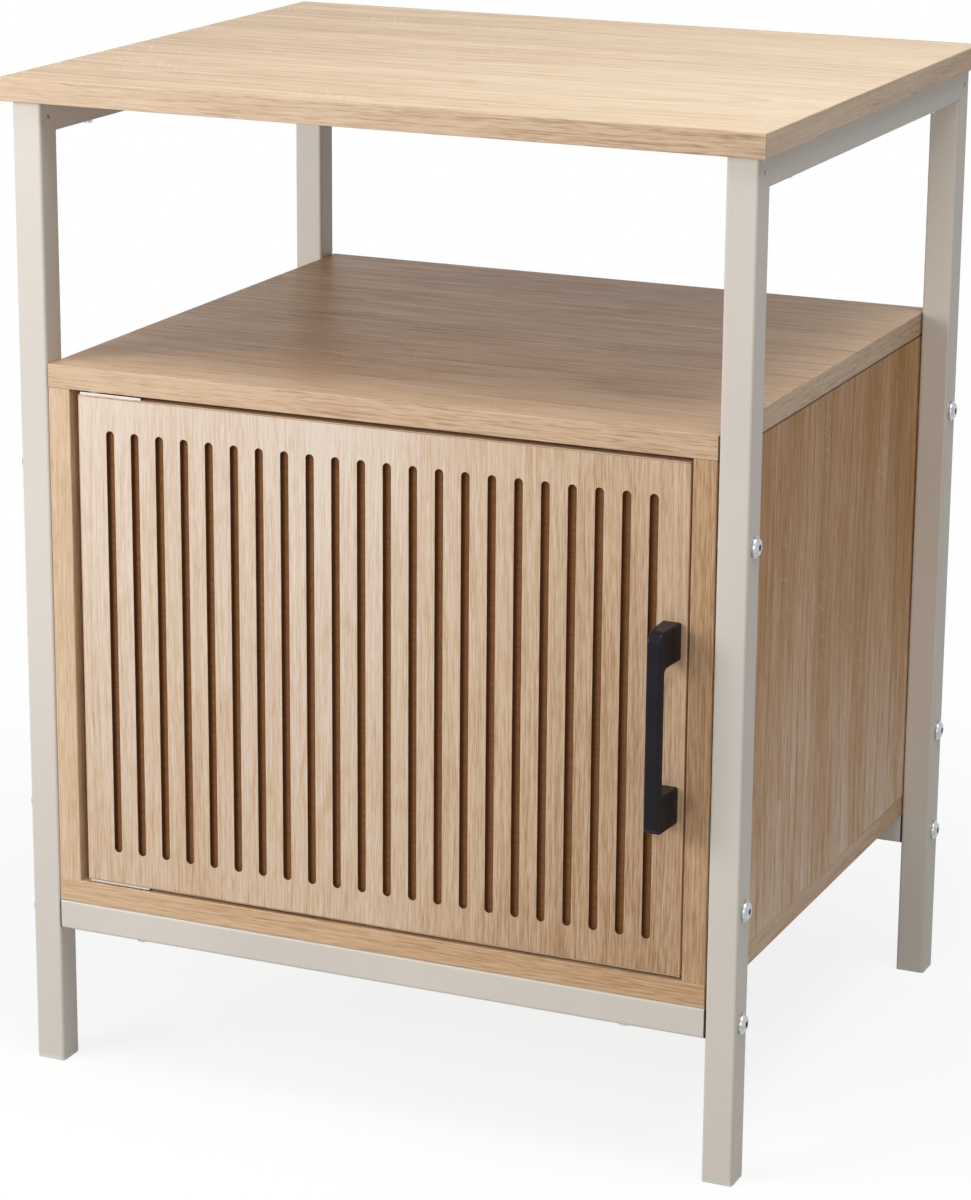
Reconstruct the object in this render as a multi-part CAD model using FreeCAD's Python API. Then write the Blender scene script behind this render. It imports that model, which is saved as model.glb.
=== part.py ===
import FreeCAD, Part
import math
import os

# Side table with a cabinet: two square-tube side frames carry a top board, and a cabinet with a grooved
# door hangs between their legs on two crossbars.
# Millimetres. The floor is Z = 0, the front faces -Y, and X runs from left to right.

Vector = FreeCAD.Vector
UP = Vector(0, 0, 1)
ALONG_X = Vector(1, 0, 0)
ALONG_Y = Vector(0, 1, 0)
HEXAGON_CORNERS = 6
TOUCHING = 1e-6

# Overall sizes
top_width = 500.0
top_depth = 420.0
top_thickness = 15.0
top_overhang = 5.5
table_height = 650.0
shelf_height = 471.0
crossbar_underside = 94.0

# Square tube of the frame
tube_size = 20.0
tube_wall = 1.5
tube_outer_radius = 2.0
tube_inner_radius = 0.5
vent_diameter = 3.0

# Plastic plugs in the tube ends
plug_clearance = 0.1
foot_pad_thickness = 2.5
foot_plug_length = 14.0
foot_plug_wall = 2.0
crossbar_plug_flange = 0.8
crossbar_plug_length = 14.0

# Cabinet boards
panel_thickness = 15.0
band_thickness = 1.0
band_radius = 0.6
back_thickness = 3.0
back_inset = 20.0
back_groove_depth = 6.0
back_clearance = 0.2

# Button-head bolts with a hexagon socket
bolt_diameter = 6.0
bolt_hole_diameter = 6.6
bolt_head_diameter = 13.5
bolt_rim_height = 1.0
bolt_dome_diameter = 12.0
bolt_crown_diameter = 6.4
bolt_dome_swell = 0.65
bolt_head_height = 3.4
bolt_socket_size = 4.0
bolt_socket_depth = 2.2
upper_bolt_drop = 67.0
lower_bolt_rise = 63.0
thread_clearance = 0.05

# Threaded inserts in the cabinet sides and nuts in the crossbar plugs
insert_diameter = 9.5
insert_flange_diameter = 14.0
insert_flange_thickness = 0.8
insert_floor = 3.0
nut_diameter = 10.0
nut_length = 12.0
pocket_clearance = 0.1

# Pan-head wood screws through the tubes
screw_diameter = 4.0
screw_head_diameter = 8.0
screw_head_height = 3.0
screw_hole_diameter = 4.6
screw_recess_width = 1.0
screw_recess_span = 4.0
screw_recess_depth = 1.2
screw_floor = 4.0
screw_tip_length = 3.0
screw_end_space = 0.5
rail_screw_front_inset = 74.0
rail_screw_rear_inset = 55.0
crossbar_screw_inset = 56.0

# Dowels and cam fittings of the cabinet corners
dowel_diameter = 8.0
dowel_floor = 5.0
dowel_side_depth = 20.0
dowel_end_space = 0.5
dowel_edge_inset = 45.0
cam_diameter = 15.0
cam_floor = 3.0
cam_setback = 24.0
cam_edge_inset = 80.0
cam_shank_diameter = 5.0
cam_head_diameter = 7.0
cam_head_length = 4.0
cam_bolt_floor = 5.0
cam_bolt_clearance = 0.3

# Door
door_thickness = 15.0
door_recess = 1.0
door_gap_left = 5.4
door_gap_right = 1.6
groove_count = 22
groove_width = 5.7
groove_depth = 3.0
groove_side_margin = 22.6
groove_end_margin = 21.5

# Bow handle
handle_length = 126.0
handle_width = 9.0
handle_base_width = 12.6
handle_bar_thickness = 7.2
handle_post_height = 23.4
handle_reach = 29.0
handle_outer_radius = 7.5
handle_inner_radius = 3.0
handle_edge_radius = 1.5
handle_edge_inset = 10.1
handle_screw_inset = 14.0
handle_screw_depth = 10.0

# Pivot hinges at the top and the bottom of the door's left edge
leaf_length = 43.0
leaf_thickness = 1.5
leaf_end_inset = 1.2
leaf_edge_inset = 1.0
leaf_clearance = 0.1
pivot_inset = 9.9
pin_diameter = 5.0
pin_running_clearance = 0.05
pin_seat_clearance = 0.02
pin_head_diameter = 7.5
pin_head_height = 1.0
pin_tip_length = 0.8
pin_relief_clearance = 0.5
top_washer_thickness = 1.1
bottom_washer_thickness = 0.4
washer_diameter = 10.0
washer_clearance = 0.1
pivot_play = 0.1
small_screw_diameter = 3.0
small_screw_head_diameter = 6.0
hinge_screw_end_inset = 7.0
hinge_screw_pitch = 13.0
hinge_screw_length = 16.0

# Magnetic catch under the cabinet top, with its strike plate on the door
catch_width = 44.0
catch_height = 20.0
catch_depth = 14.0
catch_side_inset = 45.0
catch_screw_spacing = 34.0
catch_screw_head_height = 2.0
magnet_width = 22.0
magnet_height = 5.0
magnet_setback = 0.5
pole_thickness = 1.2
pole_proud = 1.0
magnet_pocket_depth = 11.0
magnet_gap = 0.3
strike_width = 38.0
strike_height = 11.0
strike_thickness = 1.2
strike_screw_spacing = 28.0
strike_screw_length = 10.0

# Frame planes. The origin lies under the middle of the whole footprint, handle included.
handle_stand_out = max(0.0, handle_reach - door_recess - top_overhang)
table_y = handle_stand_out / 2
frame_width = top_width - 2 * top_overhang
frame_depth = top_depth - 2 * top_overhang
frame_front = table_y - frame_depth / 2
frame_rear = table_y + frame_depth / 2
frame_side = frame_width / 2
rail_top = table_height - top_thickness
rail_underside = rail_top - tube_size
leg_x = frame_side - tube_size / 2
leg_y = frame_depth / 2 - tube_size / 2
leg_inner_x = frame_side - tube_size
tube_bore = tube_size - 2 * tube_wall
plug_size = tube_bore - 2 * plug_clearance

# Cabinet planes
cabinet_side = leg_inner_x - insert_flange_thickness
inner_side = cabinet_side - panel_thickness
side_middle = cabinet_side - panel_thickness / 2
cabinet_bottom = crossbar_underside + tube_size
floor_top = cabinet_bottom + panel_thickness
ceiling = shelf_height - panel_thickness
upper_bolt_z = shelf_height - upper_bolt_drop
lower_bolt_z = cabinet_bottom + lower_bolt_rise
crossbar_z = crossbar_underside + tube_size / 2
# Screws that enter a panel from opposite faces each stop short of its middle.
panel_bite = panel_thickness / 2 - screw_end_space
top_bite = top_thickness - screw_floor
back_rear = frame_rear - back_inset
back_front = back_rear - back_thickness

# Door planes
door_left = -inner_side + door_gap_left
door_right = inner_side - door_gap_right
door_bottom = floor_top + leaf_thickness + bottom_washer_thickness + pivot_play
door_top = ceiling - leaf_thickness - top_washer_thickness - pivot_play
door_front = frame_front + door_recess
door_inner = door_front + door_thickness
door_middle_y = (door_front + door_inner) / 2
handle_x = door_right - handle_edge_inset
handle_z = (door_bottom + door_top) / 2
pivot_x = door_left + pivot_inset
leaf_left = door_left + leaf_end_inset
leaf_right = leaf_left + leaf_length

# Catch planes
catch_x = inner_side - catch_side_inset
catch_z = ceiling - catch_height / 2
pole_front = door_inner + strike_thickness + magnet_gap
catch_front = pole_front + pole_proud


# Basic shapes
def box(x0, x1, y0, y1, z0, z1):
    """Block between two opposite corners."""
    return Part.makeBox(x1 - x0, y1 - y0, z1 - z0, Vector(x0, y0, z0))


def rod(start, direction, diameter, length):
    """Round bar that runs from its start along a direction."""
    return Part.makeCylinder(diameter / 2, length, start, direction)


def rounded_face(corners, radii):
    """Flat face through the corners, each rounded by its own radius."""
    turns = []
    for index, corner in enumerate(corners):
        before = (corners[index - 1] - corner).normalize()
        after = (corners[(index + 1) % len(corners)] - corner).normalize()
        half_angle = before.getAngle(after) / 2
        tangent = radii[index] / math.tan(half_angle)
        bulge = radii[index] / math.sin(half_angle) - radii[index]
        middle = corner + (before + after).normalize() * bulge
        turns.append((corner + before * tangent, middle, corner + after * tangent))
    edges = []
    for index, (start, middle, end) in enumerate(turns):
        if radii[index] > 0:
            edges.append(Part.Arc(start, middle, end).toShape())
        following = turns[(index + 1) % len(turns)][0]
        if not end.isEqual(following, TOUCHING):
            edges.append(Part.LineSegment(end, following).toShape())
    return Part.Face(Part.Wire(edges))


def rounded_square(size, radius):
    """Square face on the XY plane, centred on the origin, with rounded corners."""
    half = size / 2
    corners = [Vector(-half, -half), Vector(half, -half), Vector(half, half), Vector(-half, half)]
    return rounded_face(corners, [radius] * 4)


def place(shape, position, direction):
    """Shape built along +Z, turned to a direction and moved to a position."""
    placed = shape.copy()
    placed.Placement = FreeCAD.Placement(position, FreeCAD.Rotation(UP, direction))
    return placed


def cut_all(shape, tools):
    """Shape with every tool taken away."""
    return shape.cut(Part.makeCompound(tools))


def square_tube(length):
    """Square tube along +Z that starts at the origin."""
    outer = rounded_square(tube_size, tube_outer_radius)
    bore = rounded_square(tube_bore, tube_inner_radius)
    return outer.cut(bore).extrude(UP * length)


# Fasteners, each built along +Z with the underside of its head at Z = 0
def button_bolt(length):
    """Button-head bolt with a flat rim, a domed crown and a hexagon socket."""
    rim = bolt_head_diameter / 2
    dome = bolt_dome_diameter / 2
    crown = bolt_crown_diameter / 2
    shoulder = Vector(dome, 0, -bolt_rim_height)
    crown_edge = Vector(crown, 0, -bolt_head_height)
    chord = crown_edge - shoulder
    swell = Vector(-chord.z, 0, chord.x).normalize() * bolt_dome_swell
    outline = [
        Part.LineSegment(Vector(0, 0, 0), Vector(rim, 0, 0)),
        Part.LineSegment(Vector(rim, 0, 0), Vector(rim, 0, -bolt_rim_height)),
        Part.LineSegment(Vector(rim, 0, -bolt_rim_height), shoulder),
        Part.Arc(shoulder, (shoulder + crown_edge) / 2 + swell, crown_edge),
        Part.LineSegment(crown_edge, Vector(0, 0, -bolt_head_height)),
        Part.LineSegment(Vector(0, 0, -bolt_head_height), Vector(0, 0, 0)),
    ]
    profile = Part.Face(Part.Wire([segment.toShape() for segment in outline]))
    head = profile.revolve(Vector(0, 0, 0), UP, 360)
    reach = bolt_socket_size / math.sqrt(3)
    corners = []
    for step in range(HEXAGON_CORNERS):
        angle = 2 * math.pi * step / HEXAGON_CORNERS
        corners.append(Vector(reach * math.cos(angle), reach * math.sin(angle), -bolt_head_height))
    socket = Part.Face(Part.makePolygon(corners + corners[:1])).extrude(UP * bolt_socket_depth)
    return head.cut(socket).fuse(rod(Vector(0, 0, 0), UP, bolt_diameter, length))


def recessed_head(diameter, height):
    """Flat round screw head with a cross recess."""
    half_span = screw_recess_span / 2
    half_width = screw_recess_width / 2
    recess_top = screw_recess_depth - height
    slot = box(-half_span, half_span, -half_width, half_width, -height, recess_top)
    cross_slot = box(-half_width, half_width, -half_span, half_span, -height, recess_top)
    return cut_all(rod(Vector(0, 0, -height), UP, diameter, height), [slot, cross_slot])


def pan_screw(length, diameter, head_diameter, head_height):
    """Pan-head screw with a pointed tip."""
    shank = rod(Vector(0, 0, 0), UP, diameter, length - screw_tip_length)
    tip = Part.makeCone(diameter / 2, 0, screw_tip_length, Vector(0, 0, length - screw_tip_length))
    return recessed_head(head_diameter, head_height).fuse([shank, tip])


def flush_screw(length, plate_thickness):
    """Countersunk screw whose cone fills a plate of the given thickness, with its top at Z = 0."""
    radius = small_screw_diameter / 2
    cone = Part.makeCone(small_screw_head_diameter / 2, radius, plate_thickness)
    shank = rod(Vector(0, 0, plate_thickness), UP, small_screw_diameter, length - plate_thickness)
    return cone.fuse(shank)


def flush_hole(plate_thickness):
    """Countersink of a plate for a flush screw, with its clearance."""
    wide = small_screw_head_diameter / 2 + leaf_clearance
    narrow = small_screw_diameter / 2 + leaf_clearance
    return Part.makeCone(wide, narrow, plate_thickness)


# Places of the fasteners
def bolt_places(side, heights):
    """Seats of bolt heads on the outer faces of one side's legs."""
    return [Vector(side * frame_side, table_y + end * leg_y, z) for end in (-1, 1) for z in heights]


def rail_screw_places(side):
    """Seats of the top-board screws under one rail."""
    rows = (frame_front + rail_screw_front_inset, frame_rear - rail_screw_rear_inset)
    return [Vector(side * leg_x, y, rail_underside) for y in rows]


def crossbar_screw_places(end):
    """Seats of the cabinet screws under one crossbar."""
    reach = leg_inner_x - crossbar_screw_inset
    return [Vector(side * reach, table_y + end * leg_y, crossbar_underside) for side in (-1, 1)]


def corner_places(level, side, edge_inset):
    """Points on a corner joint where a side panel meets the cabinet's top or bottom panel."""
    z = ceiling if level > 0 else floor_top
    return [Vector(side * side_middle, y, z) for y in (frame_front + edge_inset, frame_rear - edge_inset)]


# Frame
def mitre_wedge(side, end, part):
    """Prism that mitres a leg (part 1) or a rail (part -1) at one upper corner of a side frame."""
    inward = -end * tube_size
    outer_y = table_y + end * frame_depth / 2
    high = Vector(0, outer_y - inward, rail_top + tube_size)
    low = Vector(0, outer_y + 2 * inward, rail_underside - tube_size)
    apex = Vector(0, low.y, high.z) if part > 0 else Vector(0, high.y, low.z)
    start = Vector(side * leg_x - tube_size, 0, 0)
    wire = Part.makePolygon([high + start, low + start, apex + start, high + start])
    return Part.Face(wire).extrude(ALONG_X * (2 * tube_size))


def vent(side, end):
    """Hole across the middle of a mitred corner."""
    centre = Vector(side * leg_x - tube_size, table_y + end * leg_y, rail_underside + tube_size / 2)
    return rod(centre, ALONG_X, vent_diameter, 2 * tube_size)


def leg(side, end):
    """Upright with a mitred head, three bolt holes across it and half of a vent hole."""
    foot = Vector(side * leg_x, table_y + end * leg_y, foot_pad_thickness)
    upright = place(square_tube(rail_top - foot_pad_thickness), foot, UP)
    tools = [mitre_wedge(side, end, 1), vent(side, end)]
    for z in (upper_bolt_z, lower_bolt_z, crossbar_z):
        start = Vector(foot.x - tube_size, foot.y, z)
        tools.append(rod(start, ALONG_X, bolt_hole_diameter, 2 * tube_size))
    return cut_all(upright, tools)


def top_rail(side):
    """Rail between two legs, mitred at both ends, with holes for the top-board screws."""
    start = Vector(side * leg_x, frame_front, rail_underside + tube_size / 2)
    rail = place(square_tube(frame_depth), start, ALONG_Y)
    tools = [mitre_wedge(side, end, -1) for end in (-1, 1)]
    tools += [vent(side, end) for end in (-1, 1)]
    for seat in rail_screw_places(side):
        tools.append(rod(seat - UP * tube_wall, UP, screw_hole_diameter, 2 * tube_size))
    return cut_all(rail, tools)


def crossbar(end):
    """Tube between two legs that carries the cabinet, with holes for the cabinet screws."""
    length = 2 * (leg_inner_x - crossbar_plug_flange)
    start = Vector(-length / 2, table_y + end * leg_y, crossbar_z)
    bar = place(square_tube(length), start, ALONG_X)
    tools = []
    for seat in crossbar_screw_places(end):
        tools.append(rod(seat - UP * tube_wall, UP, screw_hole_diameter, 2 * tube_size))
    return cut_all(bar, tools)


def foot_cap(side, end):
    """Pad under a leg, with a hollow plug that grips inside the tube."""
    pad = rounded_square(tube_size, tube_outer_radius).extrude(UP * foot_pad_thickness)
    plug = rounded_square(plug_size, tube_inner_radius).extrude(UP * foot_plug_length)
    well = rounded_square(plug_size - 2 * foot_plug_wall, tube_inner_radius).extrude(UP * foot_plug_length)
    ring = plug.cut(well)
    ring.translate(UP * foot_pad_thickness)
    return place(pad.fuse(ring), Vector(side * leg_x, table_y + end * leg_y, 0), UP)


def crossbar_plug(side, end):
    """Plug with a flange that closes a crossbar against the leg and holds a nut."""
    flange = rounded_square(tube_size, tube_outer_radius).extrude(UP * crossbar_plug_flange)
    body = rounded_square(plug_size, tube_inner_radius).extrude(UP * crossbar_plug_length)
    body.translate(UP * crossbar_plug_flange)
    end_of_plug = crossbar_plug_flange + crossbar_plug_length
    nut_pocket = rod(Vector(0, 0, end_of_plug), -UP, nut_diameter + 2 * pocket_clearance, nut_length)
    bolt_hole = rod(Vector(0, 0, 0), UP, bolt_hole_diameter, end_of_plug)
    plug = cut_all(flange.fuse(body), [nut_pocket, bolt_hole])
    return place(plug, Vector(side * leg_inner_x, table_y + end * leg_y, crossbar_z), ALONG_X * -side)


def crossbar_nut(side, end):
    """Round nut seated in a crossbar plug."""
    sleeve = rod(Vector(0, 0, 0), UP, nut_diameter, nut_length)
    nut = sleeve.cut(rod(Vector(0, 0, 0), UP, bolt_diameter + 2 * thread_clearance, nut_length))
    setback = crossbar_plug_flange + crossbar_plug_length - nut_length
    start = Vector(side * (leg_inner_x - setback), table_y + end * leg_y, crossbar_z)
    return place(nut, start, ALONG_X * -side)


def crossbar_bolts():
    """Bolts through the legs into the nuts of the crossbar plugs."""
    bolt = button_bolt(tube_size + crossbar_plug_flange + crossbar_plug_length)
    seats = {side: bolt_places(side, [crossbar_z]) for side in (-1, 1)}
    return [place(bolt, seat, ALONG_X * -side) for side in (-1, 1) for seat in seats[side]]


# Boards and their edge strips
def edge_strip(origin, out, across, run):
    """Edge strip from its origin: thickness, width and length are vectors, and its outer edges are eased."""
    corners = [origin, origin + out, origin + out + across, origin + across]
    return rounded_face(corners, [0, band_radius, band_radius, 0]).extrude(run)


def level_board_bands(x0, x1, y0, y1, z0, z1):
    """Four edge strips round a level board, given the outside of the finished board."""
    height = UP * (z1 - z0)
    width = ALONG_X * (x1 - x0)
    depth = ALONG_Y * (y1 - y0 - 2 * band_thickness)
    inner_x0 = x0 + band_thickness
    inner_x1 = x1 - band_thickness
    inner_y0 = y0 + band_thickness
    inner_y1 = y1 - band_thickness
    return [
        edge_strip(Vector(x0, inner_y0, z0), ALONG_Y * -band_thickness, height, width),
        edge_strip(Vector(x0, inner_y1, z0), ALONG_Y * band_thickness, height, width),
        edge_strip(Vector(inner_x0, inner_y0, z0), ALONG_X * -band_thickness, height, depth),
        edge_strip(Vector(inner_x1, inner_y0, z0), ALONG_X * band_thickness, height, depth),
    ]


def level_board_core(x0, x1, y0, y1, z0, z1):
    """Core of a level board inside its four edge strips."""
    band = band_thickness
    return box(x0 + band, x1 - band, y0 + band, y1 - band, z0, z1)


top_front = table_y - top_depth / 2
top_rear = table_y + top_depth / 2
top_box = (-top_width / 2, top_width / 2, top_front, top_rear, rail_top, table_height)
shelf_box = (-cabinet_side, cabinet_side, frame_front, frame_rear, ceiling, shelf_height)
floor_box = (-cabinet_side, cabinet_side, frame_front, frame_rear, cabinet_bottom, floor_top)
pilot_diameter = screw_diameter + 2 * thread_clearance
small_pilot_diameter = small_screw_diameter + 2 * thread_clearance


def top_board():
    """Table top with blind pilot holes for the rail screws."""
    depth = top_bite + screw_end_space
    tools = []
    for side in (-1, 1):
        for seat in rail_screw_places(side):
            tools.append(rod(Vector(seat.x, seat.y, rail_top), UP, pilot_diameter, depth))
    return cut_all(level_board_core(*top_box), tools)


def back_groove():
    """Ring-shaped space of the groove that holds the back panel in the four cabinet boards."""
    reach = inner_side + back_groove_depth
    return box(-reach, reach, back_front - back_clearance, back_rear + back_clearance,
               floor_top - back_groove_depth, ceiling + back_groove_depth)


def back_panel():
    """Thin back board that stands in the groove."""
    reach = inner_side + back_groove_depth - back_clearance
    return box(-reach, reach, back_front, back_rear,
               floor_top - back_groove_depth, ceiling + back_groove_depth - back_clearance)


def corner_drillings(level):
    """Holes of one level's corner joints in the cabinet's top or bottom panel."""
    away = UP * level
    tools = []
    for side in (-1, 1):
        for point in corner_places(level, side, dowel_edge_inset):
            depth = panel_thickness - dowel_floor + dowel_end_space
            tools.append(rod(point, away, dowel_diameter + 2 * pocket_clearance, depth))
        for point in corner_places(level, side, cam_edge_inset):
            depth = panel_thickness - cam_bolt_floor
            tools.append(rod(point, away, cam_shank_diameter + 2 * pocket_clearance, depth))
    return tools


def hinge_cuts(level):
    """Recess, pin relief and screw holes of one hinge in the cabinet's top or bottom panel."""
    away = UP * level
    face = ceiling if level > 0 else floor_top
    back = face + level * leaf_thickness
    x0 = leaf_left - leaf_clearance
    x1 = leaf_right + leaf_clearance
    y0 = door_front + leaf_edge_inset - leaf_clearance
    y1 = door_inner - leaf_edge_inset + leaf_clearance
    relief_diameter = pin_diameter + 2 * pin_relief_clearance
    relief_depth = pin_tip_length + pin_relief_clearance
    tools = [box(x0, x1, y0, y1, min(face, back), max(face, back))]
    tools.append(rod(Vector(pivot_x, door_middle_y, back), away, relief_diameter, relief_depth))
    for x in hinge_screw_xs():
        depth = panel_bite - leaf_thickness + screw_end_space
        tools.append(rod(Vector(x, door_middle_y, back), away, small_pilot_diameter, depth))
    return tools


def cabinet_top_panel():
    """Shelf board that closes the cabinet's top."""
    tools = [back_groove()] + corner_drillings(1) + hinge_cuts(1)
    for x in catch_screw_xs():
        depth = panel_thickness - screw_floor + screw_end_space
        tools.append(rod(Vector(x, catch_middle_y(), ceiling), UP, small_pilot_diameter, depth))
    return cut_all(level_board_core(*shelf_box), tools)


def cabinet_bottom_panel():
    """Floor board of the cabinet, screwed down to the crossbars."""
    tools = [back_groove()] + corner_drillings(-1) + hinge_cuts(-1)
    for end in (-1, 1):
        for seat in crossbar_screw_places(end):
            depth = panel_bite + screw_end_space
            tools.append(rod(Vector(seat.x, seat.y, cabinet_bottom), UP, pilot_diameter, depth))
    return cut_all(level_board_core(*floor_box), tools)


def cabinet_side_panel(side):
    """Upright side of the cabinet with its inserts', dowels' and cams' holes."""
    x0, x1 = sorted((side * inner_side, side * cabinet_side))
    panel = box(x0, x1, frame_front + band_thickness, frame_rear, floor_top, ceiling)
    inward = ALONG_X * -side
    tools = [back_groove()]
    for seat in bolt_places(side, [upper_bolt_z, lower_bolt_z]):
        start = Vector(side * cabinet_side, seat.y, seat.z)
        hole_depth = panel_thickness - insert_floor
        tools.append(rod(start, inward, insert_diameter + 2 * pocket_clearance, hole_depth))
    for level in (-1, 1):
        into = UP * -level
        for point in corner_places(level, side, dowel_edge_inset):
            depth = dowel_side_depth + dowel_end_space
            tools.append(rod(point, into, dowel_diameter + 2 * pocket_clearance, depth))
        for point in corner_places(level, side, cam_edge_inset):
            bore = cam_head_diameter + 2 * cam_bolt_clearance
            mouth = Vector(side * inner_side, point.y, point.z - level * cam_setback)
            cam_depth = panel_thickness - cam_floor
            tools.append(rod(point, into, bore, cam_setback))
            tools.append(rod(mouth, -inward, cam_diameter + 2 * pocket_clearance, cam_depth))
    return cut_all(panel, tools)


def side_bands():
    """Edge strips on the front edges of both cabinet sides."""
    strips = []
    for x in (-cabinet_side, inner_side):
        origin = Vector(x, frame_front + band_thickness, floor_top)
        strips.append(edge_strip(origin, ALONG_Y * -band_thickness, ALONG_X * panel_thickness,
                                 UP * (ceiling - floor_top)))
    return strips


# Cabinet fittings
def dowels():
    """Dowels across the corner joints."""
    upper = panel_thickness - dowel_floor
    length = upper + dowel_side_depth
    pins = []
    for level in (-1, 1):
        for side in (-1, 1):
            for point in corner_places(level, side, dowel_edge_inset):
                pins.append(rod(point + UP * (level * upper), UP * -level, dowel_diameter, length))
    return pins


def cam_bolt(point, level):
    """Bolt screwed into a panel, with its head inside the cam."""
    into = UP * -level
    thread = panel_thickness - cam_bolt_floor
    neck = cam_setback - cam_head_length / 2
    shank = rod(point - into * thread, into, cam_shank_diameter, thread + neck)
    head = rod(point + into * neck, into, cam_head_diameter, cam_head_length)
    return shank.fuse(head)


def cam_lock(point, level, side):
    """Turned disc in a cabinet side, hollowed round the head of its bolt."""
    outward = ALONG_X * side
    centre = Vector(side * inner_side, point.y, point.z - level * cam_setback)
    disc = rod(centre, outward, cam_diameter, panel_thickness - cam_floor)
    heart = Vector(point.x, point.y, centre.z)
    half_head = cam_head_length / 2 + cam_bolt_clearance
    hollow = rod(heart - UP * half_head, UP, cam_head_diameter + 2 * cam_bolt_clearance, 2 * half_head)
    throat = rod(heart, UP * level, cam_shank_diameter + 2 * cam_bolt_clearance, cam_diameter)
    return cut_all(disc, [hollow, throat])


def cam_fittings():
    """Cam bolts and cam locks of the corner joints."""
    bolts = []
    locks = []
    for level in (-1, 1):
        for side in (-1, 1):
            for point in corner_places(level, side, cam_edge_inset):
                bolts.append(cam_bolt(point, level))
                locks.append(cam_lock(point, level, side))
    return bolts, locks


def threaded_inserts():
    """Flanged inserts in the cabinet sides, whose flanges bear on the legs."""
    length = insert_flange_thickness + panel_thickness - insert_floor
    flange = rod(Vector(0, 0, 0), UP, insert_flange_diameter, insert_flange_thickness)
    sleeve = rod(Vector(0, 0, 0), UP, insert_diameter, length)
    insert = flange.fuse(sleeve).cut(rod(Vector(0, 0, 0), UP, bolt_diameter + 2 * thread_clearance, length))
    inserts = []
    for side in (-1, 1):
        for seat in bolt_places(side, [upper_bolt_z, lower_bolt_z]):
            inserts.append(place(insert, Vector(side * leg_inner_x, seat.y, seat.z), ALONG_X * -side))
    return inserts


def cabinet_bolts():
    """Bolts through the legs into the cabinet's inserts."""
    bolt = button_bolt(tube_size + insert_flange_thickness + panel_thickness - insert_floor)
    seats = {side: bolt_places(side, [upper_bolt_z, lower_bolt_z]) for side in (-1, 1)}
    return [place(bolt, seat, ALONG_X * -side) for side in (-1, 1) for seat in seats[side]]


def tube_screws(seats, bite):
    """Pan-head screws that pass up through a tube and bite into a board."""
    screw = pan_screw(tube_size + bite, screw_diameter, screw_head_diameter, screw_head_height)
    return [place(screw, seat, UP) for seat in seats]


# Door
def hinge_screw_xs():
    """Places of the hinge screws along a leaf."""
    last = leaf_right - hinge_screw_end_inset
    return (last - hinge_screw_pitch, last)


def strike_screw_places():
    """Places of the strike plate's screws on the plate's outer face."""
    y = door_inner + strike_thickness
    return [Vector(catch_x + side * strike_screw_spacing / 2, y, catch_z) for side in (-1, 1)]


def handle_screw_places():
    """Seats of the handle's screws on the door's inner face."""
    reach = handle_length / 2 - handle_screw_inset
    return [Vector(handle_x, door_inner, handle_z + end * reach) for end in (-1, 1)]


def grooves():
    """Round-ended grooves routed upright into the door's face."""
    first = door_left + groove_side_margin
    pitch = (door_right - groove_side_margin - first) / (groove_count - 1)
    half = groove_width / 2
    low = door_bottom + groove_end_margin
    high = door_top - groove_end_margin
    slots = []
    for index in range(groove_count):
        x = first + index * pitch
        corners = [Vector(x - half, door_front, low), Vector(x + half, door_front, low),
                   Vector(x + half, door_front, high), Vector(x - half, door_front, high)]
        slots.append(rounded_face(corners, [half] * 4).extrude(ALONG_Y * groove_depth))
    return slots


def door_drillings():
    """Holes in the door for the hinge pins, the hinge screws, the handle and the strike plate."""
    tools = []
    for level in (-1, 1):
        edge = door_top if level > 0 else door_bottom
        into = UP * -level
        head_bore = pin_head_diameter + 2 * pocket_clearance
        tools.append(rod(Vector(pivot_x, door_middle_y, edge), into, head_bore, pin_head_height))
        for x in hinge_screw_xs():
            depth = hinge_screw_length - leaf_thickness + screw_end_space
            tools.append(rod(Vector(x, door_middle_y, edge), into, small_pilot_diameter, depth))
    for seat in handle_screw_places():
        tools.append(rod(seat, -ALONG_Y, screw_hole_diameter, door_thickness))
    for seat in strike_screw_places():
        start = Vector(seat.x, door_inner, seat.z)
        depth = strike_screw_length - strike_thickness + screw_end_space
        tools.append(rod(start, -ALONG_Y, small_pilot_diameter, depth))
    return tools


def door_panel():
    """Core of the door with its routed grooves and drilled holes."""
    band = band_thickness
    core = box(door_left + band, door_right - band, door_front, door_inner,
               door_bottom + band, door_top - band)
    return cut_all(core, grooves() + door_drillings())


def door_bands():
    """Edge strips round the door, drilled for the hinges."""
    band = band_thickness
    depth = ALONG_Y * door_thickness
    height = UP * (door_top - door_bottom)
    width = ALONG_X * (door_right - door_left - 2 * band)
    strips = [
        edge_strip(Vector(door_left + band, door_front, door_bottom), ALONG_X * -band, depth, height),
        edge_strip(Vector(door_right - band, door_front, door_bottom), ALONG_X * band, depth, height),
        edge_strip(Vector(door_left + band, door_front, door_bottom + band), UP * -band, depth, width),
        edge_strip(Vector(door_left + band, door_front, door_top - band), UP * band, depth, width),
    ]
    return [cut_all(strip, door_drillings()) for strip in strips]


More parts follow.
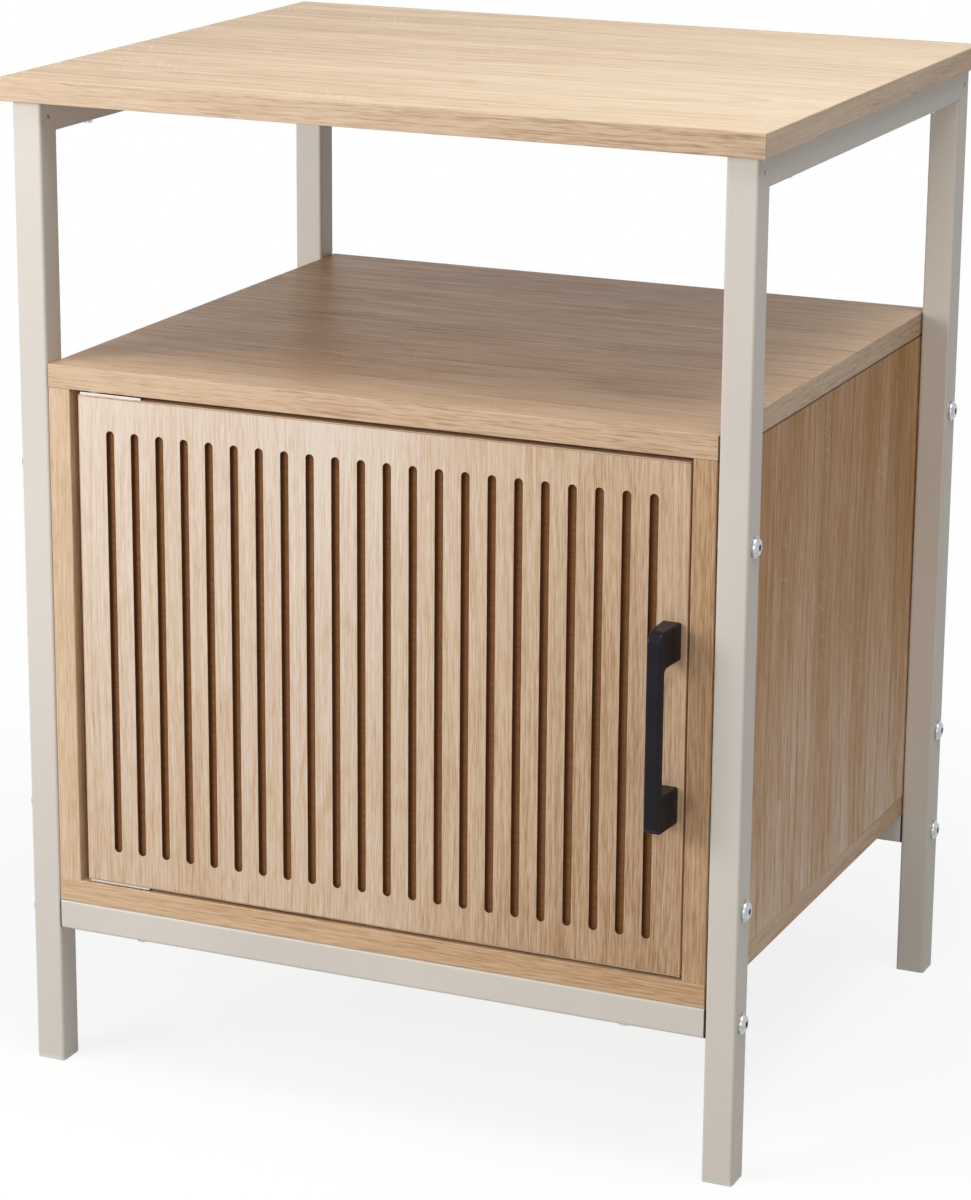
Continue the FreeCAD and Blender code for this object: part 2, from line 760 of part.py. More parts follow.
def door_handle():
    """Bow handle: two posts that widen towards the door and a bar, with softened edges, drilled for its screws."""
    x0 = handle_x - handle_base_width / 2
    half = handle_length / 2
    inner = half - handle_post_height
    bar_back = door_front - handle_reach + handle_bar_thickness
    front = door_front - handle_reach
    outline = [(door_front, -half), (front, -half), (front, half), (door_front, half),
               (door_front, inner), (bar_back, inner), (bar_back, -inner), (door_front, -inner)]
    radii = [0, handle_outer_radius, handle_outer_radius, 0, 0, handle_inner_radius, handle_inner_radius, 0]
    corners = [Vector(x0, y, handle_z + z) for y, z in outline]
    bow = rounded_face(corners, radii).extrude(ALONG_X * handle_base_width)
    section = [(-handle_base_width / 2, door_front), (handle_base_width / 2, door_front),
               (handle_width / 2, front), (-handle_width / 2, front)]
    ends = [Vector(handle_x + x, y, handle_z - half) for x, y in section]
    bow = bow.common(rounded_face(ends, [0] * 4).extrude(UP * handle_length))
    soft = []
    for edge in bow.Edges:
        sides = [vertex.X - handle_x for vertex in edge.Vertexes]
        on_one_flank = min(sides) > 0 or max(sides) < 0
        seated = all(abs(vertex.Y - door_front) < TOUCHING for vertex in edge.Vertexes)
        if on_one_flank and not seated:
            soft.append(edge)
    bow = bow.makeFillet(handle_edge_radius, soft)
    holes = []
    for seat in handle_screw_places():
        start = Vector(seat.x, door_front, seat.z)
        holes.append(rod(start, -ALONG_Y, screw_diameter + 2 * thread_clearance, handle_screw_depth))
    return cut_all(bow, holes)


def handle_screws():
    """Machine screws from inside the door into the handle's posts."""
    length = door_thickness + handle_screw_depth - screw_end_space
    shank = rod(Vector(0, 0, 0), UP, screw_diameter, length)
    screw = recessed_head(screw_head_diameter, screw_head_height).fuse(shank)
    return [place(screw, seat, -ALONG_Y) for seat in handle_screw_places()]


# Hinges
def leaf(face, away):
    """Hinge leaf laid on a level face, with its thickness going away from it."""
    far = face + away * leaf_thickness
    return box(leaf_left, leaf_right, door_front + leaf_edge_inset, door_inner - leaf_edge_inset,
               min(face, far), max(face, far))


def hinge(level):
    """Pieces of the top (1) or the bottom (-1) pivot hinge."""
    away = UP * level
    edge = door_top if level > 0 else door_bottom
    face = ceiling if level > 0 else floor_top
    washer_thickness = top_washer_thickness if level > 0 else bottom_washer_thickness
    pivot = Vector(pivot_x, door_middle_y, edge)
    leaf_face = edge + level * leaf_thickness
    on_leaf = Vector(pivot_x, door_middle_y, leaf_face)

    door_leaf_tools = [rod(pivot, away, pin_diameter + 2 * pin_seat_clearance, leaf_thickness)]
    frame_leaf_tools = [rod(Vector(pivot_x, door_middle_y, face), away,
                            pin_diameter + 2 * pin_running_clearance, leaf_thickness)]
    door_screws = []
    frame_screws = []
    for x in hinge_screw_xs():
        door_seat = Vector(x, door_middle_y, leaf_face)
        frame_seat = Vector(x, door_middle_y, face)
        door_leaf_tools.append(place(flush_hole(leaf_thickness), door_seat, -away))
        frame_leaf_tools.append(place(flush_hole(leaf_thickness), frame_seat, away))
        door_screws.append(place(flush_screw(hinge_screw_length, leaf_thickness), door_seat, -away))
        frame_screws.append(place(flush_screw(panel_bite, leaf_thickness), frame_seat, away))

    pin_end = abs(face - edge) + leaf_thickness + pin_tip_length
    pin_head = rod(pivot - away * pin_head_height, away, pin_head_diameter, pin_head_height)
    pin = pin_head.fuse(rod(pivot, away, pin_diameter, pin_end))
    ring = rod(on_leaf, away, washer_diameter, washer_thickness)
    washer = ring.cut(rod(on_leaf, away, pin_diameter + 2 * washer_clearance, washer_thickness))
    return {
        "door_leaf": cut_all(leaf(edge, level), door_leaf_tools),
        "frame_leaf": cut_all(leaf(face, level), frame_leaf_tools),
        "pin": pin,
        "washer": washer,
        "door_screws": door_screws,
        "frame_screws": frame_screws,
    }


# Magnetic catch
def catch_screw_xs():
    """Places of the catch's screws along X."""
    return [catch_x + side * catch_screw_spacing / 2 for side in (-1, 1)]


def catch_middle_y():
    """Middle of the catch's housing along Y."""
    return catch_front + catch_depth / 2


def magnet_pocket():
    """Space of the magnet and its two pole plates in the housing."""
    half_width = magnet_width / 2 + pocket_clearance
    half_height = magnet_height / 2 + pole_thickness + pocket_clearance
    return box(catch_x - half_width, catch_x + half_width, catch_front, catch_front + magnet_pocket_depth,
               catch_z - half_height, catch_z + half_height)


def catch_housing():
    """Block under the cabinet top that holds the magnet."""
    half = catch_width / 2
    block = box(catch_x - half, catch_x + half, catch_front, catch_front + catch_depth,
                ceiling - catch_height, ceiling)
    tools = [magnet_pocket()]
    for x in catch_screw_xs():
        start = Vector(x, catch_middle_y(), ceiling - catch_height)
        tools.append(rod(start, UP, small_pilot_diameter, catch_height))
    return cut_all(block, tools)


def catch_magnet():
    """Bar magnet between the pole plates."""
    half = magnet_width / 2
    front = catch_front + magnet_setback
    back = catch_front + magnet_pocket_depth
    return box(catch_x - half, catch_x + half, front, back,
               catch_z - magnet_height / 2, catch_z + magnet_height / 2)


def catch_poles():
    """Steel plates above and below the magnet, standing proud of the housing."""
    half = magnet_width / 2
    inner = magnet_height / 2
    outer = inner + pole_thickness
    back = catch_front + magnet_pocket_depth
    upper = box(catch_x - half, catch_x + half, pole_front, back, catch_z + inner, catch_z + outer)
    lower = box(catch_x - half, catch_x + half, pole_front, back, catch_z - outer, catch_z - inner)
    return [upper, lower]


def catch_screws():
    """Pan-head screws that hold the housing to the cabinet top."""
    length = catch_height + panel_thickness - screw_floor
    screw = pan_screw(length, small_screw_diameter, small_screw_head_diameter, catch_screw_head_height)
    return [place(screw, Vector(x, catch_middle_y(), ceiling - catch_height), UP) for x in catch_screw_xs()]


def strike_plate():
    """Steel plate on the door that meets the magnet."""
    half_width = strike_width / 2
    half_height = strike_height / 2
    plate = box(catch_x - half_width, catch_x + half_width, door_inner, door_inner + strike_thickness,
                catch_z - half_height, catch_z + half_height)
    holes = [place(flush_hole(strike_thickness), seat, -ALONG_Y) for seat in strike_screw_places()]
    return cut_all(plate, holes)


def strike_screws():
    """Flush screws that hold the strike plate to the door."""
    screw = flush_screw(strike_screw_length, strike_thickness)
    return [place(screw, seat, -ALONG_Y) for seat in strike_screw_places()]


# Assembly: one file for each node, with like fasteners grouped
def build():
    """All nodes by name, each a solid or a list of like solids."""
    nodes = {}
    corners = [(side, end) for side in (-1, 1) for end in (-1, 1)]
    hand = {-1: "left", 1: "right"}
    place_name = {-1: "front", 1: "rear"}
    for side, end in corners:
        nodes[f"{hand[side]}_{place_name[end]}_leg"] = leg(side, end)
        nodes[f"{hand[side]}_{place_name[end]}_foot_cap"] = foot_cap(side, end)
    for side in (-1, 1):
        nodes[f"{hand[side]}_top_rail"] = top_rail(side)
    for end in (-1, 1):
        nodes[f"{place_name[end]}_crossbar"] = crossbar(end)
    nodes["crossbar_end_plugs"] = [crossbar_plug(side, end) for side, end in corners]
    nodes["crossbar_nuts"] = [crossbar_nut(side, end) for side, end in corners]
    nodes["crossbar_bolts"] = crossbar_bolts()

    nodes["top_board"] = top_board()
    nodes["top_board_edge_bands"] = level_board_bands(*top_box)
    rail_seats = rail_screw_places(-1) + rail_screw_places(1)
    nodes["top_board_screws"] = tube_screws(rail_seats, top_bite)

    nodes["cabinet_top_panel"] = cabinet_top_panel()
    nodes["cabinet_top_edge_bands"] = level_board_bands(*shelf_box)
    nodes["cabinet_bottom_panel"] = cabinet_bottom_panel()
    nodes["cabinet_bottom_edge_bands"] = level_board_bands(*floor_box)
    crossbar_seats = crossbar_screw_places(-1) + crossbar_screw_places(1)
    nodes["cabinet_floor_screws"] = tube_screws(crossbar_seats, panel_bite)
    for side in (-1, 1):
        nodes[f"cabinet_{hand[side]}_side"] = cabinet_side_panel(side)
    nodes["cabinet_side_edge_bands"] = side_bands()
    nodes["cabinet_back_panel"] = back_panel()
    nodes["cabinet_dowels"] = dowels()
    nodes["cam_bolts"], nodes["cam_locks"] = cam_fittings()
    nodes["threaded_inserts"] = threaded_inserts()
    nodes["cabinet_bolts"] = cabinet_bolts()

    nodes["door_panel"] = door_panel()
    nodes["door_edge_bands"] = door_bands()
    nodes["door_handle"] = door_handle()
    nodes["handle_screws"] = handle_screws()
    hinges = {"top": hinge(1), "bottom": hinge(-1)}
    for name, pieces in hinges.items():
        nodes[f"{name}_hinge_door_leaf"] = pieces["door_leaf"]
        nodes[f"{name}_hinge_frame_leaf"] = pieces["frame_leaf"]
    nodes["hinge_pins"] = [pieces["pin"] for pieces in hinges.values()]
    nodes["hinge_washers"] = [pieces["washer"] for pieces in hinges.values()]
    nodes["hinge_door_screws"] = [screw for pieces in hinges.values() for screw in pieces["door_screws"]]
    nodes["hinge_frame_screws"] = [screw for pieces in hinges.values() for screw in pieces["frame_screws"]]

    nodes["catch_housing"] = catch_housing()
    nodes["catch_magnet"] = catch_magnet()
    nodes["catch_pole_plates"] = catch_poles()
    nodes["catch_screws"] = catch_screws()
    nodes["strike_plate"] = strike_plate()
    nodes["strike_screws"] = strike_screws()
    return nodes


os.makedirs("parts", exist_ok=True)
for node_name, shape in build().items():
    solid = Part.makeCompound(shape) if isinstance(shape, list) else shape
    solid.exportStep(f"parts/{node_name}.step")
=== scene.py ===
"""Side table with a tube frame and a grooved cabinet door: its finishes, weld beads, studio and camera.

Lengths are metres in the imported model's frame: the floor is Z = 0, the front faces -Y and X runs to
the right.
"""

import logging
import math
import random
from abc import ABC, abstractmethod
from collections.abc import Iterable, Sequence
from dataclasses import dataclass, replace
from enum import Enum

import bmesh
import bpy
from mathutils import Matrix, Vector


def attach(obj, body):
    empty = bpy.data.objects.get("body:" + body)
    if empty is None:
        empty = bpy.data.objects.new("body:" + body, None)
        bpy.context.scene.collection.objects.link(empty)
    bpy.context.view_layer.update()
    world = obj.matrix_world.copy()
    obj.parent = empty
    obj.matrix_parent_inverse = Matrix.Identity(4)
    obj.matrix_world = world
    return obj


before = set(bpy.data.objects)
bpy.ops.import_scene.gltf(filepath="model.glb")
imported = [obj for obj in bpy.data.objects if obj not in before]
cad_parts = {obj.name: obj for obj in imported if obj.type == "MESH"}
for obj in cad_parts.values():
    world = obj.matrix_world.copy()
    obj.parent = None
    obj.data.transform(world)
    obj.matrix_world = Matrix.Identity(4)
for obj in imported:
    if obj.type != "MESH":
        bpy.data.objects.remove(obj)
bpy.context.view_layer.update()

log = logging.getLogger("side_table")

Socket = bpy.types.NodeSocket
Colour = tuple[float, float, float]
Place = tuple[float, float, float]
Cells = tuple[float, float, float]
Source = Socket | float | Sequence[float]

WHITE: Colour = (1.0, 1.0, 1.0)
SEAM_COLOUR: Colour = (0.07, 0.03, 0.015)
STRIP_JOINT_COLOUR: Colour = (0.10, 0.05, 0.025)
WELD_COLOUR: Colour = (0.22, 0.19, 0.16)
RESIN_IOR = 1.5
PLASTIC_IOR = 1.48
GLOW_DEPTH = 0.004
MEAN_TONE = 0.55
FLECK_SLOPE = 0.45
SEED_STEP_ALONG = 1.37
SEED_STEP_ACROSS = 0.71


class Grain(Enum):
    """Axes along the grain, across it and through the board, as numbers of X, Y and Z."""

    LEVEL = (0, 1, 2)
    FRONT_STRIP = (0, 2, 1)
    SIDE_STRIP = (1, 2, 0)
    UPRIGHT_WIDE = (2, 0, 1)
    UPRIGHT_DEEP = (2, 1, 0)


class Side(Enum):
    """The two ends of an axis."""

    LOW = -1
    HIGH = 1


class Relief(Enum):
    """Depth of a fine relief, and how much of it shows."""

    FACE = (0.00016, 0.5)
    STRIP = (0.00012, 0.4)
    COAT = (0.00006, 0.3)
    PLATE = (0.00004, 0.3)
    SKIN = (0.00005, 0.4)


def rgba(colour: Colour) -> tuple[float, float, float, float]:
    """Colour with full opacity."""
    return (*colour, 1.0)


class Graph:
    """Shader nodes of one finish, with a short call for each kind of node that it needs."""

    def __init__(self, name: str) -> None:
        """Start a material with an empty node tree.

        Args:
            name: the material's name.
        """
        self.material = bpy.data.materials.new(name)
        self.material.use_nodes = True
        self.tree = self.material.node_tree
        self.tree.nodes.clear()

    def feed(self, source: Source, target: Socket) -> None:
        """Link a socket to a target, or set the target's own value.

        Args:
            source: a socket or a plain value.
            target: the input that takes it.
        """
        if isinstance(source, bpy.types.NodeSocket):
            self.tree.links.new(source, target)
        else:
            target.default_value = source

    def split(self, vector: Socket) -> tuple[Socket, Socket, Socket]:
        """Take a vector apart.

        Args:
            vector: the vector.

        Returns:
            Sockets of its three values.
        """
        parts = self.tree.nodes.new("ShaderNodeSeparateXYZ")
        self.feed(vector, parts.inputs[0])
        return tuple(parts.outputs)

    def position(self) -> tuple[Socket, Socket, Socket]:
        """Position of the shaded point in the object's own frame, as X, Y and Z."""
        return self.split(self.tree.nodes.new("ShaderNodeTexCoord").outputs["Object"])

    def vector(self, x: Source, y: Source, z: Source) -> Socket:
        """Put three values together.

        Args:
            x: the first value.
            y: the second value.
            z: the third value.

        Returns:
            The vector's socket.
        """
        node = self.tree.nodes.new("ShaderNodeCombineXYZ")
        for source, target in zip((x, y, z), node.inputs):
            self.feed(source, target)
        return node.outputs[0]

    def math(self, operation: str, first: Source, second: Source = 0.0) -> Socket:
        """Result of one sum.

        Args:
            operation: the Math node's operation.
            first: its first value.
            second: its second value, where it has one.

        Returns:
            The result's socket.
        """
        node = self.tree.nodes.new("ShaderNodeMath")
        node.operation = operation
        self.feed(first, node.inputs[0])
        self.feed(second, node.inputs[1])
        return node.outputs[0]

    def total(self, *terms: Source) -> Socket:
        """Add several values.

        Args:
            terms: the values.

        Returns:
            The sum's socket.
        """
        result = terms[0]
        for term in terms[1:]:
            result = self.math("ADD", result, term)
        return result

    def minus(self, first: Source, second: Source) -> Socket:
        """First value less the second."""
        return self.math("SUBTRACT", first, second)

    def times(self, first: Source, second: Source) -> Socket:
        """Product of two values."""
        return self.math("MULTIPLY", first, second)

    def apart(self, first: Source, second: Source) -> Socket:
        """Distance between two values."""
        return self.math("ABSOLUTE", self.minus(first, second))

    def diagonal(self, first: Socket, second: Socket) -> Socket:
        """Length of the diagonal over two distances at a right angle."""
        return self.math("SQRT", self.total(self.times(first, first), self.times(second, second)))

    def centred(self, value: Socket, amount: float) -> Socket:
        """A 0 to 1 value as a swing about zero, times an amount."""
        return self.times(self.minus(value, 0.5), amount)

    def noise(self, place: Socket, cells: Cells, detail: float = 2.0) -> Socket:
        """Soft noise from 0 to 1.

        Args:
            place: the position that it follows.
            cells: its cells per metre along each axis of that position.
            detail: how many finer layers it adds.

        Returns:
            The noise's socket.
        """
        scaled = self.tree.nodes.new("ShaderNodeVectorMath")
        scaled.operation = "MULTIPLY"
        self.feed(place, scaled.inputs[0])
        scaled.inputs[1].default_value = cells
        node = self.tree.nodes.new("ShaderNodeTexNoise")
        self.feed(scaled.outputs[0], node.inputs["Vector"])
        node.inputs["Scale"].default_value = 1.0
        node.inputs["Detail"].default_value = detail
        return node.outputs[0]

    def span(self, value: Source, low: float, high: float, start: float = 0.0, end: float = 1.0) -> Socket:
        """A value's way from low to high, eased and held at both ends.

        Args:
            value: the value.
            low: where the way starts.
            high: where it ends.
            start: the result at low.
            end: the result at high.

        Returns:
            The result's socket.
        """
        node = self.tree.nodes.new("ShaderNodeMapRange")
        node.interpolation_type = "SMOOTHSTEP"
        for source, target in zip((value, low, high, start, end), node.inputs):
            self.feed(source, target)
        return node.outputs[0]

    def mix(self, share: Source, first: Source, second: Source) -> Socket:
        """Mix of two colours.

        Args:
            share: how much of the second colour, from 0 to 1.
            first: the first colour.
            second: the second colour.

        Returns:
            The mixed colour's socket.
        """
        node = self.tree.nodes.new("ShaderNodeMix")
        node.data_type = "RGBA"
        self.feed(share, node.inputs[0])
        self.feed(first, node.inputs[6])
        self.feed(second, node.inputs[7])
        return node.outputs[2]

    def choose(self, share: Source, first: Socket, second: Socket) -> Socket:
        """One of two vectors.

        Args:
            share: 0 for the first vector and 1 for the second.
            first: the first vector.
            second: the second vector.

        Returns:
            The chosen vector's socket.
        """
        node = self.tree.nodes.new("ShaderNodeMix")
        node.data_type = "VECTOR"
        self.feed(share, node.inputs[0])
        self.feed(first, node.inputs[4])
        self.feed(second, node.inputs[5])
        return node.outputs[1]

    def ramp(self, value: Socket, stops: Sequence[tuple[float, Colour]]) -> Socket:
        """Colour read from a row of stops.

        Args:
            value: the place on the row, from 0 to 1.
            stops: places and their colours, in order.

        Returns:
            The colour's socket.
        """
        node = self.tree.nodes.new("ShaderNodeValToRGB")
        row = node.color_ramp.elements
        while len(row) < len(stops):
            row.new(0.5)
        for element, (place, colour) in zip(row, stops):
            element.position = place
            element.color = rgba(colour)
        self.feed(value, node.inputs[0])
        return node.outputs[0]

    def bump(self, height: Socket, relief: Relief) -> Socket:
        """Shading normal of a fine relief.

        Args:
            height: the relief, about 0 to 1.
            relief: its depth and how much of it shows.

        Returns:
            The normal's socket.
        """
        node = self.tree.nodes.new("ShaderNodeBump")
        node.inputs["Distance"].default_value, node.inputs["Strength"].default_value = relief.value
        self.feed(height, node.inputs["Height"])
        return node.outputs[0]

    def surface(self, **inputs: Source) -> bpy.types.Material:
        """Close the graph with one surface shader.

        Args:
            inputs: the shader's inputs, with underscores for spaces.

        Returns:
            The finished material.
        """
        shader = self.tree.nodes.new("ShaderNodeBsdfPrincipled")
        for name, source in inputs.items():
            self.feed(source, shader.inputs[name.replace("_", " ")])
        output = self.tree.nodes.new("ShaderNodeOutputMaterial")
        self.feed(shader.outputs[0], output.inputs[0])
        return self.material


class Finish(ABC):
    """A surface finish that can make its material."""

    @abstractmethod
    def material(self) -> bpy.types.Material:
        """Material of the finish."""


@dataclass(frozen=True)
class Figure:
    """How a printed oak face is cut from its log.

    Attributes:
        heart: place of the log's heart across the grain.
        depth: depth of the heart under the face where the grain position is 0.
        tilt: rise of the heart along the grain, which draws the pointed arches.
        ring: width of one year's ring.
        lines: strength of the ring lines.
        wander: how far the grain strays sideways.
        bands: strength of the broad pale and dark bands.
        streaks: strength of the soft streaks.
        threads: strength of the fine fibres.
        hairs: strength of the thin wiry lines.
        pores: strength of the short dark pores.
        flecks: strength of the pale flecks across the grain.
        rise: how much paler the face gets per metre along the grain.
        drift: how much paler it gets per metre across the grain.
        painted_sheen: how much paler the face is over the heart, a painted sheen.
        spread: distance from the heart at which that has faded out.
        seed: shift of every pattern, so that no two faces match.
    """

    heart: float = 0.0
    depth: float = 0.03
    tilt: float = 0.1
    ring: float = 0.007
    lines: float = 0.25
    wander: float = 0.012
    bands: float = 0.22
    streaks: float = 0.16
    threads: float = 0.36
    hairs: float = 0.12
    pores: float = 0.08
    flecks: float = 0.3
    rise: float = 0.0
    drift: float = 0.0
    painted_sheen: float = 0.0
    spread: float = 0.12
    seed: float = 0.0


STRIP_FIGURE = Figure(heart=0.4, depth=0.3, ring=0.004, lines=0.05, wander=0.002, bands=0.12, streaks=0.08,
                      threads=0.42, hairs=0.08, pores=0.2, flecks=0.0)


@dataclass(frozen=True)
class Oak(Finish):
    """Light oak laminate with an embossed satin print.

    Attributes:
        name: the material's name.
        grain: direction of the grain.
        figure: the cut of the face.
        dark: colour of pores and ring lines.
        mid: the usual colour.
        pale: colour of the palest bands and flecks.
        roughness: mean roughness.
        gloss: level of the surface's mirror shine.
        centre: middle of the face along the grain and across it.
        seams: heights below which a dark joint line runs.
    """

    name: str
    grain: Grain
    figure: Figure
    dark: Colour = (0.34, 0.19, 0.10)
    mid: Colour = (0.60, 0.41, 0.26)
    pale: Colour = (0.72, 0.55, 0.39)
    roughness: float = 0.42
    gloss: float = 0.4
    centre: tuple[float, float] = (0.0, 0.0)
    seams: tuple[float, ...] = ()

    def place(self, graph: Graph) -> Socket:
        """Position along the grain, across it and through the board."""
        axes = graph.position()
        return graph.vector(*(axes[axis] for axis in self.grain.value))

    def rings(self, graph: Graph, along: Socket, strayed: Socket, fibre: Socket) -> tuple[Socket, Socket]:
        """Cut the log's rings with the board's face.

        Args:
            graph: the material's nodes.
            along: position along the grain.
            strayed: position across the grain, with its wander.
            fibre: position that follows the fibres.

        Returns:
            Sockets of the place in the year, from 0 to 1, and of the dark line at its end.
        """
        figure = self.figure
        sinking = graph.total(graph.times(along, figure.tilt), figure.depth,
                              graph.centred(graph.noise(fibre, (3.0, 2.0, 2.0), 1.0), 0.03))
        reach = graph.diagonal(graph.minus(strayed, figure.heart), sinking)
        years = graph.total(graph.math("DIVIDE", reach, figure.ring),
                            graph.centred(graph.noise(fibre, (24.0, 260.0, 60.0)), 0.4))
        year = graph.math("FRACT", years)
        season = graph.tree.nodes.new("ShaderNodeTexWhiteNoise")
        season.noise_dimensions = "1D"
        graph.feed(graph.math("FLOOR", years), season.inputs["W"])
        strength = graph.span(season.outputs["Value"], 0.1, 1.0, 0.15, 1.0)
        edge = graph.times(graph.math("POWER", year, 5.0), graph.span(year, 0.93, 1.0, 1.0, 0.0))
        return year, graph.times(edge, strength)

    def hair(self, graph: Graph, place: Socket, cells: Cells) -> Socket:
        """Thin broken lines that run with the grain.

        Args:
            graph: the material's nodes.
            place: the position that they follow.
            cells: cells per metre of the noise whose middle level they trace.

        Returns:
            Socket that is 1 on a line and 0 off it.
        """
        along, across, through = cells
        level = graph.apart(graph.noise(place, cells, 1.0), 0.5)
        gaps = graph.noise(place, (2.4 * along, 0.4 * across, through), 1.0)
        return graph.times(graph.span(level, 0.015, 0.07, 1.0, 0.0), graph.span(gaps, 0.42, 0.6))

    def draw(self, graph: Graph) -> tuple[Socket, Socket, Socket]:
        """Draw the printed grain.

        Args:
            graph: the material's nodes.

        Returns:
            Sockets of its colour, its relief and its roughness.
        """
        figure = self.figure
        along, across, through = graph.split(self.place(graph))
        moved_along = graph.total(along, SEED_STEP_ALONG * figure.seed)
        shift_across = SEED_STEP_ACROSS * figure.seed
        shifted = graph.vector(moved_along, graph.total(across, shift_across), through)
        broad = graph.noise(shifted, (2.4, 7.0, 5.0), 1.0)
        close = graph.noise(shifted, (22.0, 60.0, 40.0), 1.0)
        stray = graph.total(graph.centred(broad, 2.0 * figure.wander),
                            graph.centred(close, 0.06 * figure.wander))
        strayed = graph.total(across, stray)
        fibre = graph.vector(moved_along, graph.total(strayed, shift_across), through)
        year, line = self.rings(graph, along, strayed, fibre)

        bands = graph.span(graph.noise(fibre, (2.2, 24.0, 8.0)), 0.32, 0.68)
        streaks = graph.span(graph.noise(fibre, (14.0, 260.0, 150.0)), 0.3, 0.7)
        long_threads = graph.span(graph.noise(fibre, (16.0, 1050.0, 560.0), 1.0), 0.36, 0.64)
        short_threads = graph.span(graph.noise(shifted, (75.0, 1000.0, 540.0), 1.0), 0.34, 0.66)
        threads = graph.times(graph.total(long_threads, short_threads), 0.5)
        hairs = graph.total(self.hair(graph, fibre, (13.0, 270.0, 120.0)),
                            self.hair(graph, shifted, (19.0, 390.0, 150.0)))
        pores = graph.times(graph.span(graph.noise(fibre, (60.0, 950.0, 500.0), 1.0), 0.60, 0.74),
                            graph.span(year, 0.1, 0.9, 0.3, 1.0))
        from_heart = graph.apart(strayed, figure.heart)
        # Tone that slopes along and across the face, and painted sheen over the heart.
        lean = graph.total(graph.times(graph.minus(along, self.centre[0]), figure.rise),
                           graph.times(graph.minus(across, self.centre[1]), figure.drift),
                           graph.span(from_heart, 0.0, figure.spread, figure.painted_sheen, 0.0))
        tone = graph.total(MEAN_TONE, graph.centred(bands, figure.bands),
                           graph.centred(streaks, figure.streaks), graph.centred(threads, figure.threads),
                           graph.times(hairs, -figure.hairs), graph.times(line, -figure.lines),
                           graph.times(pores, -figure.pores), lean)
        colour = graph.ramp(tone, [(0.0, self.dark), (0.5, self.mid), (1.0, self.pale)])

        slant = graph.vector(graph.total(along, graph.times(across, FLECK_SLOPE)), strayed, through)
        fleck = graph.span(graph.noise(slant, (420.0, 36.0, 36.0)), 0.55, 0.70)
        patch = graph.span(graph.noise(shifted, (9.0, 16.0, 16.0), 1.0), 0.50, 0.66)
        colour = graph.mix(graph.times(graph.times(fleck, patch), figure.flecks), colour, rgba(self.pale))
        for height in self.seams:
            below = graph.minus(height, graph.position()[2])
            joint = graph.times(graph.math("GREATER_THAN", below, -0.0001),
                                graph.span(below, 0.0007, 0.0014, 0.9, 0.0))
            colour = graph.mix(joint, colour, rgba(SEAM_COLOUR))

        relief = graph.total(graph.times(threads, 0.7), graph.times(hairs, -0.6), graph.times(pores, -0.7))
        roughness = graph.total(self.roughness, graph.centred(streaks, -0.1), graph.times(pores, 0.12))
        return colour, relief, roughness

    def seal(self, graph: Graph, colour: Socket, roughness: Socket, normal: Socket) -> bpy.types.Material:
        """Close the graph with the laminate's clear resin skin.

        Args:
            graph: the material's nodes.
            colour: the print's colour.
            roughness: the skin's roughness.
            normal: the skin's shading normal.

        Returns:
            The finished material.
        """
        return graph.surface(Base_Color=colour, Roughness=roughness, IOR=RESIN_IOR,
                             Specular_IOR_Level=self.gloss, Normal=normal)

    def material(self) -> bpy.types.Material:
        """Make the laminate's material.

        Returns:
            The material.
        """
        graph = Graph(self.name)
        colour, relief, roughness = self.draw(graph)
        return self.seal(graph, colour, roughness, graph.bump(relief, Relief.FACE))


@dataclass(frozen=True)
class OakStrip(Oak):
    """Oak edge strips round a board, whose grain follows each edge, with dark joints at the corners.

    Attributes:
        turned: direction of the grain on the strips that lie between the two long ones.
        axis: axis that the long strips end on, as a number of X, Y and Z.
        middle: the board's middle on that axis.
        half: half the distance between the long strips' inner faces.
    """

    turned: Grain = Grain.SIDE_STRIP
    axis: int = 1
    middle: float = 0.0
    half: float = 0.2

    def offset(self, graph: Graph) -> Socket:
        """Distance from the board's middle along the ending axis."""
        return graph.apart(graph.position()[self.axis], self.middle)

    def place(self, graph: Graph) -> Socket:
        """Position along each strip, across it and through it.

        Args:
            graph: the material's nodes.

        Returns:
            The position's socket.
        """
        axes = graph.position()
        long_strip = graph.vector(*(axes[axis] for axis in self.grain.value))
        between = graph.vector(*(axes[axis] for axis in self.turned.value))
        return graph.choose(graph.math("LESS_THAN", self.offset(graph), self.half), long_strip, between)

    def material(self) -> bpy.types.Material:
        """Make the strips' material.

        Returns:
            The material, with its corner joints.
        """
        graph = Graph(self.name)
        colour, relief, roughness = self.draw(graph)
        joint = graph.span(graph.apart(self.offset(graph), self.half), 0.00012, 0.0004, 0.75, 0.0)
        colour = graph.mix(joint, colour, rgba(STRIP_JOINT_COLOUR))
        return self.seal(graph, colour, roughness, graph.bump(relief, Relief.STRIP))


